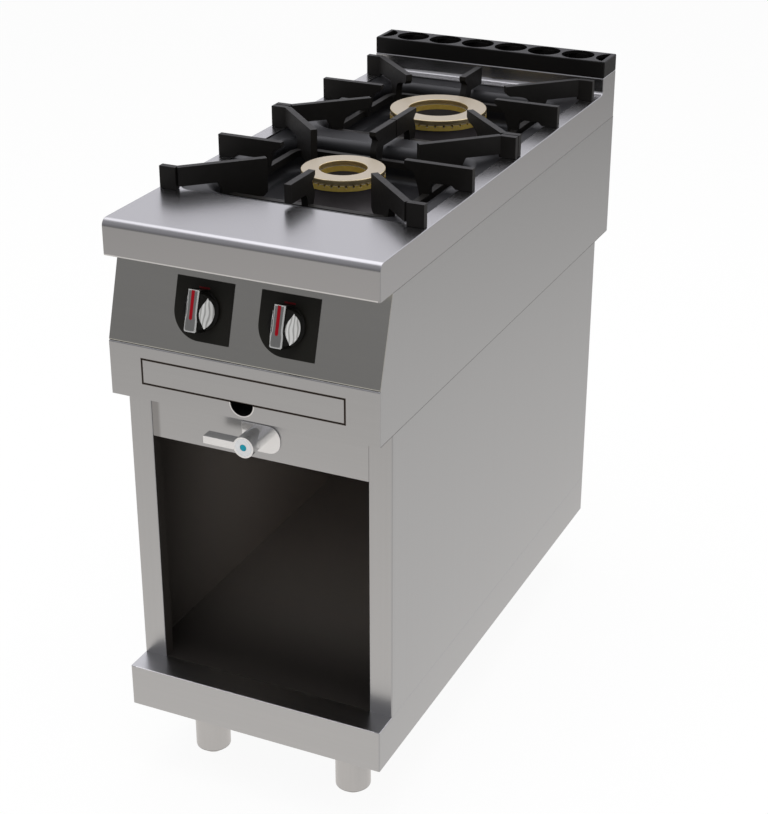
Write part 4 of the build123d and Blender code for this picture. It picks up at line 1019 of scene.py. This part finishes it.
@dataclass
class Housing:
    """The burner housing's sheets, control panel, fascia and the drip tray."""

    dresser: Dresser
    finishes: Finishes
    slot_gap: float = 1.0 * MM
    # how far the painted shade around the drawer's gap reaches onto the fronts
    shade: float = 1.0 * MM
    notch_drop: float = 2.0 * MM
    # half width of the painted shade in the side sheets' seams
    seam: float = 0.8 * MM
    seam_shade_colour: Colour = (0.05, 0.046, 0.042)

    def shadowed(self) -> SlottedSteel:
        """Stainless, with painted shade in a band around the drawer's gap and a painted highlight below the
        finger notch.

        Returns:
            The finish.
        """
        low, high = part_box("drip_tray_front")
        out = self.slot_gap + self.shade
        inset = self.shade
        # painted shade around the drawer's gap, painted highlight below the notch
        return SlottedSteel(
            "steel_fascia",
            self.finishes.steel_x.colour,
            outer=((low.x - out, -REACH, low.z - out), (high.x + out, REACH, high.z + out)),
            inner=((low.x + inset, -REACH, low.z + inset), (high.x - inset, REACH, high.z - inset)),
            notch_height=low.z - self.notch_drop,
        )

    def seam_at(self, height: float) -> Box:
        """Works out a narrow band of both side sheets.

        Args:
            height: where the band's middle lies.

        Returns:
            The band's lowest and highest corner.
        """
        low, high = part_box("housing_side_left")
        side = self.slot_gap - low.x
        return (-side, low.y, height - self.seam), (side, high.y, height + self.seam)

    def seamed(self) -> Finish:
        """The side sheets' finish: painted shade in the seam under the worktop's skirt and along the bottom
        edge.

        Returns:
            The finish.
        """
        # painted shade along the bottom edge and in the seam under the skirt
        return replace(
            self.finishes.steel_z,
            name="steel_housing_side",
            edge=self.seam_at(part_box("housing_side_left")[0].z),
            edge_colour=self.seam_shade_colour,
            dark=self.seam_at(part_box("worktop")[0].z),
            shade_colour=self.seam_shade_colour,
            depth_light_colour=self.seam_shade_colour,
        )

    def build(self) -> None:
        """Dresses the housing's sheets."""
        dress = self.dresser.dress
        dress(["housing_side_left", "housing_side_right"], self.seamed())
        dress(["housing_back"], self.finishes.steel_z, Edge.COVER)
        dress(["control_panel"], self.finishes.panel, Edge.COVER)
        dress(["tray_fascia", "drip_tray_front"], self.shadowed(), Edge.SHEET)
        dress(["drip_tray"], self.finishes.steel_y, Edge.SHEET)
        dress(["housing_floor", "tray_runners", "flue_duct"], self.finishes.zinc, Edge.ZINC)


@dataclass
class Hob:
    """The worktop, the pan, the burners, the pan supports and the flue cover."""

    dresser: Dresser
    finishes: Finishes
    # height of the painted highlight along the skirt's bottom edge
    hem_highlight: float = 1.7 * MM

    def with_hem_highlight(self) -> Finish:
        """The worktop's finish, with a painted highlight along the bottom edge of its skirt, but not on the
        right side.

        Returns:
            The finish.
        """
        low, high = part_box("worktop")
        # painted highlight along the skirt's bottom edge, left out on the right side
        hem_highlight = ((-REACH, -REACH, -REACH), (high.x - 2 * self.hem_highlight, high.y, low.z + self.hem_highlight))
        return replace(self.finishes.worktop, edge=hem_highlight)

    def build(self) -> None:
        """Dresses the hob."""
        dress = self.dresser.dress
        dress(["worktop"], self.with_hem_highlight())
        dress(["burner_pan"], self.finishes.enamel)
        dress(["flue_grille"], self.finishes.flue_black, Edge.GRILLE)
        dress(["grid_front", "grid_rear"], self.finishes.cast, Edge.GRID)
        for place in ("front", "rear"):
            dress([f"burner_body_{place}"], self.finishes.burner_cast)
            dress([f"burner_crown_{place}"], self.finishes.brass_crown)
            dress([f"burner_cap_{place}"], self.finishes.brass_cap)
        dress(["pilots"], self.finishes.brass_fitting)
        dress(["thermocouples"], self.finishes.copper)


@dataclass
class Controls:
    """The knobs with their inlays and marks, and their plates on the panel."""

    dresser: Dresser
    finishes: Finishes
    joints: list[dict]
    grip_top: float = 28.0 * MM
    grip_bottom: float = 27.5 * MM
    half_top: float = 7.85 * MM
    half_waist: float = 7.35 * MM
    half_bottom: float = 8.7 * MM
    flare_from: float = -3.0 * MM
    flare_to: float = -14.0 * MM
    flare_steps: int = 12
    foot_round: float = 2.4 * MM
    foot_steps: int = 5
    rim: float = 1.7 * MM
    grip_height: float = 30.0 * MM
    plate_gauge: float = 1.2 * MM
    skin: float = 0.15 * MM
    face_shift: float = -0.55 * MM
    line_width: float = 4.6 * MM
    line_end: float = 11.5 * MM
    line_steps: int = 10
    bezel_gauge: float = 1.5 * MM
    dash_left: float = -8.5 * MM
    dash_right: float = 7.5 * MM
    dash_height: float = 29.0 * MM
    dash_width: float = 2.4 * MM
    flank_place: tuple[float, float] = (15.25 * MM, 17.3 * MM)
    flank_slope: tuple[float, float] = (11.5, 20.6)
    leaf_proud: float = 0.35 * MM
    leaf_top: tuple[tuple[float, float], ...] = (
        (-0.6 * MM, 18.6 * MM), (-4.6 * MM, 13.2 * MM), (-8.6 * MM, 8.2 * MM), (-11.0 * MM, 3.6 * MM),
    )
    leaf_inner: Arc = Arc((8.5 * MM, -1.5 * MM), 20.2 * MM, 172, 226, 8)
    leaf_foot: tuple[float, float] = (-2.2 * MM, -22.2 * MM)
    leaf_outer: Arc = Arc((-9.5 * MM, -2.0 * MM), 20.9 * MM, -70, 70, 18)

    def frame_of(self, side: Side) -> Matrix:
        """Plane of the panel at a knob, with Y up the slope and Z off the panel.

        Args:
            side: which knob.

        Returns:
            The plane's matrix.
        """
        joint = next(j for j in self.joints if j["name"] == f"valve_turn_{side.name.lower()}")
        normal = Vector(joint["axis"]).normalized()
        across = Vector((1.0, 0.0, 0.0))
        up = normal.cross(across)
        frame = Matrix((across, up, normal)).transposed().to_4x4()
        frame.translation = Vector(joint["pos_m"])
        return frame

    def grip_outline(self, inset: float = 0.0) -> Outline:
        """Outline of the grip: a slim handle that flares to a foot with round corners.

        Args:
            inset: how far inside the grip's edge the outline runs.

        Returns:
            The points, anticlockwise from the foot's right corner.
        """
        corner = self.foot_round
        centre = (self.half_bottom - inset - corner, inset - self.grip_bottom + corner)
        right = Arc(centre, corner, -90, 0, self.foot_steps).points()
        for i in range(self.flare_steps + 1):
            share = i / self.flare_steps
            ease = share * share * (3 - 2 * share)
            half = self.half_bottom + (self.half_waist - self.half_bottom) * ease
            right.append((half - inset, self.flare_to + (self.flare_from - self.flare_to) * share))
        right.append((self.half_top - inset, self.grip_top - inset))
        return right + [(-x, y) for x, y in reversed(right)]

    def leaf_outline(self, flank: Side) -> Outline:
        """Outline of a leaf: a point at the top, one at the foot, and a full outer side.

        Args:
            flank: which side of the grip.

        Returns:
            The points, anticlockwise.
        """
        inner = self.leaf_inner.points()[1:-1]
        outer = self.leaf_outer.points()[1:-1]
        right = [*self.leaf_top, *inner, self.leaf_foot, *outer]
        return right if flank is Side.RIGHT else [(-x, y) for x, y in reversed(right)]

    def leaf_frame(self, flank: Side) -> Matrix:
        """Plane of a leaf on the grip's flank, in the knob's own frame.

        Args:
            flank: which side of the grip.

        Returns:
            The plane's matrix, with X away from the grip on the right flank and towards it on the left.
        """
        run, rise = self.flank_slope
        away = Vector((flank.value * run, 0.0, -rise)).normalized() * flank.value
        up = Vector((0.0, 1.0, 0.0))
        frame = Matrix((away, up, away.cross(up))).transposed().to_4x4()
        frame.translation = Vector((flank.value * self.flank_place[0], 0.0, self.flank_place[1]))
        return frame

    def inlays(self, knob: str, frame: Matrix) -> None:
        """Adds a knob's bright plate and its two leaves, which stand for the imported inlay.

        Args:
            knob: left or right.
            frame: the knob's plane.
        """
        top = self.grip_height
        grip = Plate(self.grip_outline(), top - self.plate_gauge, top, self.finishes.grip_edge)
        piece = grip.add(f"grip_plate_{knob}", frame, f"knob_{knob}", "bright_inlay")
        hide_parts(f"knob_inlay_{knob}")
        for flank in Side:
            name = f"leaf_{knob}_{flank.name.lower()}"
            leaf = Plate(self.leaf_outline(flank), -self.leaf_proud, self.leaf_proud, self.finishes.leaf)
            leaf.add(name, frame @ self.leaf_frame(flank), f"knob_{knob}", "bright_inlay")

    def marks(self, knob: str, frame: Matrix) -> None:
        """Adds a knob's satin face, its red line, and the dash on its plate.

        Args:
            knob: left or right.
            frame: the knob's plane.
        """
        middle = self.face_shift
        top = self.grip_height + self.skin
        outline = [(x + middle, y) for x, y in self.grip_outline(self.rim)]
        face = Plate(outline, top - 2 * self.skin, top, self.finishes.grip_face)
        face.add(f"grip_face_{knob}", frame, f"knob_{knob}", "bright_inlay")
        half = self.line_width / 2
        end = self.grip_top - self.rim / 2
        outline = Arc((middle, half - self.line_end), half, 180, 360, self.line_steps).points()
        outline += [(middle + half, end), (middle - half, end)]
        line = Plate(outline, top, top + self.skin, self.finishes.red)
        line.add(f"grip_line_{knob}", frame, f"knob_{knob}")
        low = self.dash_height - self.dash_width / 2
        high = self.dash_height + self.dash_width / 2
        left, right = self.dash_left, self.dash_right
        outline = [(left, low), (right, low), (right, high), (left, high)]
        dash = Plate(outline, self.bezel_gauge, self.bezel_gauge + self.skin, self.finishes.dark_red)
        dash.add(f"plate_dash_{knob}", frame, "range")

    def build(self) -> None:
        """Dresses the knobs and adds their inlays and marks."""
        self.dresser.dress(["knob_bezels"], self.finishes.bezel_black, Edge.SHEET)
        for side in Side:
            knob = side.name.lower()
            frame = self.frame_of(side)
            self.dresser.dress([f"knob_{knob}"], self.finishes.knob_black, Edge.KNOB)
            self.inlays(knob, frame)
            self.marks(knob, frame)


@dataclass
class Tap:
    """The tap with its lever and blue index."""

    dresser: Dresser
    finishes: Finishes
    ring_radius: float = 12.6 * MM
    ring_bore: float = 4.9 * MM
    ring_steps: int = 48
    skin: float = 0.2 * MM

    def face_ring(self) -> None:
        """Adds the pale ring around the blue index on the hub's face."""
        low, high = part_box("tap_index")
        middle = (low + high) / 2
        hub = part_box("tap_lever")[0].y
        steps = self.ring_steps
        radii = (self.ring_radius, self.ring_bore)
        rings = [Arc((middle.x, middle.z), radius, 0, 360, steps).points()[:-1] for radius in radii]
        points = [(x, y, z) for y in (hub, hub - self.skin) for ring in rings for x, z in ring]
        back_out, back_in, front_out, front_in = (k * steps for k in range(4))
        faces = []
        for i in range(steps):
            after = (i + 1) % steps
            faces.append((front_out + i, front_out + after, front_in + after, front_in + i))
            faces.append((back_out + i, back_in + i, back_in + after, back_out + after))
            faces.append((back_out + i, back_out + after, front_out + after, front_out + i))
            faces.append((back_in + i, front_in + i, front_in + after, back_in + after))
        mesh = mesh_of("tap_face_ring", points, faces, self.finishes.index_white)
        add_piece("tap_face_ring", mesh, "tap_lever")

    def build(self) -> None:
        """Dresses the tap and adds the ring."""
        dress = self.dresser.dress
        dress(["tap_body", "tap_lever", "tap_escutcheon"], self.finishes.chrome, Edge.TUBE)
        dress(["fill_spout"], self.finishes.chrome)
        dress(["tap_index"], self.finishes.index_blue, Edge.INDEX)
        self.face_ring()


@dataclass
class Pipes:
    """Gas and water pipes, valves and injectors."""

    dresser: Dresser
    finishes: Finishes
    mounts: list[dict]
    thread_pitch: float = 1.814 * MM
    thread_length: float = 22.0 * MM
    thread_radius: float = 10.48 * MM
    ridge: float = 0.45 * MM

    def threads(self) -> None:
        """Adds the ridges of a pipe thread to the two inlets."""
        tree = thread_tree(self.finishes.brass_fitting)
        values = {
            "Count": int(self.thread_length / self.thread_pitch) - 1,
            "Pitch": self.thread_pitch,
            "Radius": self.thread_radius,
            "Ridge": self.ridge,
        }
        for pipe, inlet in (("gas_inlet_pipe", "gas_inlet"), ("water_pipe", "water_inlet")):
            x, y, _ = next(mount["pos_m"] for mount in self.mounts if mount["name"] == inlet)
            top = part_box(pipe)[0].z + self.thread_length - self.thread_pitch
            tree.bake(f"{inlet}_thread", values, Matrix.Translation((x, y, top)), "zinc_steel")

    def build(self) -> None:
        """Dresses the pipes and adds their threads."""
        dress = self.dresser.dress
        dress(["gas_manifold", "gas_inlet_pipe"], self.finishes.zinc)
        dress(["supply_pipe_front", "supply_pipe_rear"], self.finishes.gas_tube)
        dress(["water_pipe"], self.finishes.copper)
        parts = ("body", "plug", "spindle")
        valves = [f"valve_{part}_{side.name.lower()}" for part in parts for side in Side]
        dress(["injectors", *valves], self.finishes.brass_fitting)
        self.threads()


@dataclass(frozen=True)
class Lamp:
    """A square soft lamp, which neither the camera nor a mirroring surface sees."""

    name: str
    place: Place
    side: float
    watts: float

    def light(self, target: Place) -> None:
        """Hangs the lamp.

        Args:
            target: the point that it faces.
        """
        data = bpy.data.lights.new(self.name, "AREA")
        data.shape = "SQUARE"
        data.size = self.side
        data.energy = self.watts
        lamp = bpy.data.objects.new(self.name, data)
        lamp.location = self.place
        direction = Vector(target) - Vector(self.place)
        lamp.rotation_euler = direction.to_track_quat("-Z", "Y").to_euler()
        lamp.visible_camera = False
        lamp.visible_glossy = False
        bpy.context.scene.collection.objects.link(lamp)


@dataclass
class Studio:
    """White floor, soft light, and the camera at the photograph's angle."""

    azimuth: float = 24.911
    elevation: float = 25.351
    place: Place = (1.0589, -2.2794, 1.6314)
    focal_pixels: float = 1787.47
    image_height: float = 814.0
    sensor: float = 36.0
    nearest: float = 0.05
    ambient: float = 0.55
    white: Colour = (1.0, 1.0, 1.0)
    dim_side: tuple[float, float] = (0.0, -0.35)
    room_by_height: tuple[tuple[float, float], ...] = (
        (0.0, 0.28), (0.2, 0.33), (0.42, 0.45), (0.86, 0.5), (0.96, 1.0),
    )
    overhead_from: tuple[float, float] = (0.79, 0.91)
    overhead_lean: float = 0.35
    overhead: float = 2.3
    sky_tint: Colour = (0.925, 0.92, 0.985)
    floor_size: float = 30.0
    floor_white: Colour = (0.95, 0.95, 0.95)
    floor_glow: float = 0.93
    floor_tint: Colour = (1.0, 0.967, 0.94)
    right_tint: Colour = (0.84, 0.825, 0.815)
    right_side: tuple[float, float] = (0.1, 0.35)
    far_tint: Colour = (0.23, 0.225, 0.22)
    dim_floor: tuple[float, float] = (0.3, 6.0)
    middle: Place = (0.0, 0.0, 0.6)
    lamps: tuple[Lamp, ...] = (
        Lamp("key_lamp", (-0.6, -0.9, 4.4), 4.0, 85.0),
        Lamp("top_lamp", (0.4, 0.3, 3.6), 3.2, 45.0),
        Lamp("side_lamp", (3.2, -0.8, 1.8), 1.8, 9.0),
    )

    def camera(self) -> None:
        """Sets the camera."""
        data = bpy.data.cameras.new("camera")
        data.sensor_width = self.sensor
        data.lens = self.focal_pixels / self.image_height * self.sensor
        data.clip_start = self.nearest
        camera = bpy.data.objects.new("camera", data)
        camera.location = self.place
        camera.rotation_euler = (math.radians(90 - self.elevation), 0.0, math.radians(self.azimuth))
        bpy.context.scene.collection.objects.link(camera)
        bpy.context.scene.camera = camera

    def seen_directly(self, sheet: NodeSheet) -> Socket:
        """Adds a mask that is 1 for what the camera, a mirror or glass sees.

        Args:
            sheet: the tree to add it to.

        Returns:
            The mask.
        """
        seen = sheet.math("MAXIMUM", sheet.ray("Is Camera Ray"), sheet.ray("Is Glossy Ray"))
        return sheet.math("MAXIMUM", seen, sheet.ray("Is Transmission Ray"))

    def world(self) -> None:
        """Sets a white world that lights the object softly.

        What is mirrored in it is the room: dim in front, by height, and bright overhead.
        """
        world = bpy.data.worlds.new("studio")
        bpy.context.scene.world = world
        world.use_nodes = True
        sheet = NodeSheet(world.node_tree)
        background = sheet.add("ShaderNodeBackground")
        output = sheet.add("ShaderNodeOutputWorld")
        _, back, up = sheet.split(sheet.add("ShaderNodeTexCoord").outputs["Generated"])
        mirrored = sheet.ray("Is Glossy Ray")
        in_front = sheet.math("MULTIPLY", sheet.step(back, *self.dim_side), mirrored)
        room = sheet.ramp(up, [(height, (level,) * 3) for height, level in self.room_by_height])
        leaning = sheet.math("ADD", up, sheet.math("MULTIPLY", back, self.overhead_lean))
        lit = sheet.math("MULTIPLY", sheet.step(leaning, *self.overhead_from), mirrored)
        seen = sheet.blend(in_front, 1.0, room, "FLOAT")
        seen = sheet.blend(lit, seen, self.overhead, "FLOAT")
        strength = sheet.blend(self.seen_directly(sheet), self.ambient, seen, "FLOAT")
        sheet.join(strength, background.inputs["Strength"])
        sheet.join(sheet.blend(mirrored, self.white, self.sky_tint), background.inputs["Color"])
        sheet.join(background.outputs[0], output.inputs["Surface"])

    def floor_finish(self) -> bpy.types.Material:
        """The floor's white, which dims with distance where it is mirrored.

        Returns:
            The material.
        """
        material = bpy.data.materials.new("floor_white")
        material.use_nodes = True
        sheet = NodeSheet(material.node_tree)
        reach = sheet.add("ShaderNodeVectorMath", operation="LENGTH")
        sheet.join(sheet.place(), reach.inputs[0])
        mirrored = sheet.ray("Is Glossy Ray")
        far = sheet.math("MULTIPLY", sheet.step(reach.outputs["Value"], *self.dim_floor, "LINEAR"), mirrored)
        to_right = sheet.step(sheet.split(sheet.place())[0], *self.right_side)
        near = sheet.blend(to_right, self.floor_tint, self.right_tint)
        matte = sheet.add("ShaderNodeBsdfDiffuse")
        light = sheet.add("ShaderNodeEmission")
        for shader, plain in ((matte, self.floor_white), (light, self.white)):
            colour = sheet.blend(far, sheet.blend(mirrored, plain, near), self.far_tint)
            sheet.join(colour, shader.inputs["Color"])
        mix = sheet.add("ShaderNodeMixShader")
        output = sheet.add("ShaderNodeOutputMaterial")
        sheet.join(sheet.math("MULTIPLY", self.seen_directly(sheet), self.floor_glow), mix.inputs[0])
        sheet.join(matte.outputs[0], mix.inputs[1])
        sheet.join(light.outputs[0], mix.inputs[2])
        sheet.join(mix.outputs[0], output.inputs["Surface"])
        return material

    def floor(self) -> None:
        """Lays the white floor, which keeps the object's shadow."""
        half = self.floor_size / 2
        mesh = bpy.data.meshes.new("floor")
        corners = [(-half, -half, 0), (half, -half, 0), (half, half, 0), (-half, half, 0)]
        mesh.from_pydata(corners, [], [(0, 1, 2, 3)])
        mesh.materials.append(self.floor_finish())
        floor = bpy.data.objects.new("floor", mesh)
        bpy.context.scene.collection.objects.link(floor)

    def build(self) -> None:
        """Sets up light, floor and camera."""
        bpy.context.scene.view_settings.view_transform = "Standard"
        self.world()
        self.floor()
        for lamp in self.lamps:
            lamp.light(self.middle)
        self.camera()
        LOG.info("studio ready")


def main() -> None:
    """Builds the dressed range in order."""
    logging.basicConfig(level=logging.INFO, format="%(message)s")
    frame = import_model()
    finishes = Finishes()
    dresser = Dresser(frame["nodes"])
    Stand(dresser, finishes).build()
    Housing(dresser, finishes).build()
    Hob(dresser, finishes).build()
    Controls(dresser, finishes, frame["joints"]).build()
    Tap(dresser, finishes).build()
    Pipes(dresser, finishes, frame["record"]["mounts"]).build()
    Studio().build()


if __name__ == "__main__":
    main()
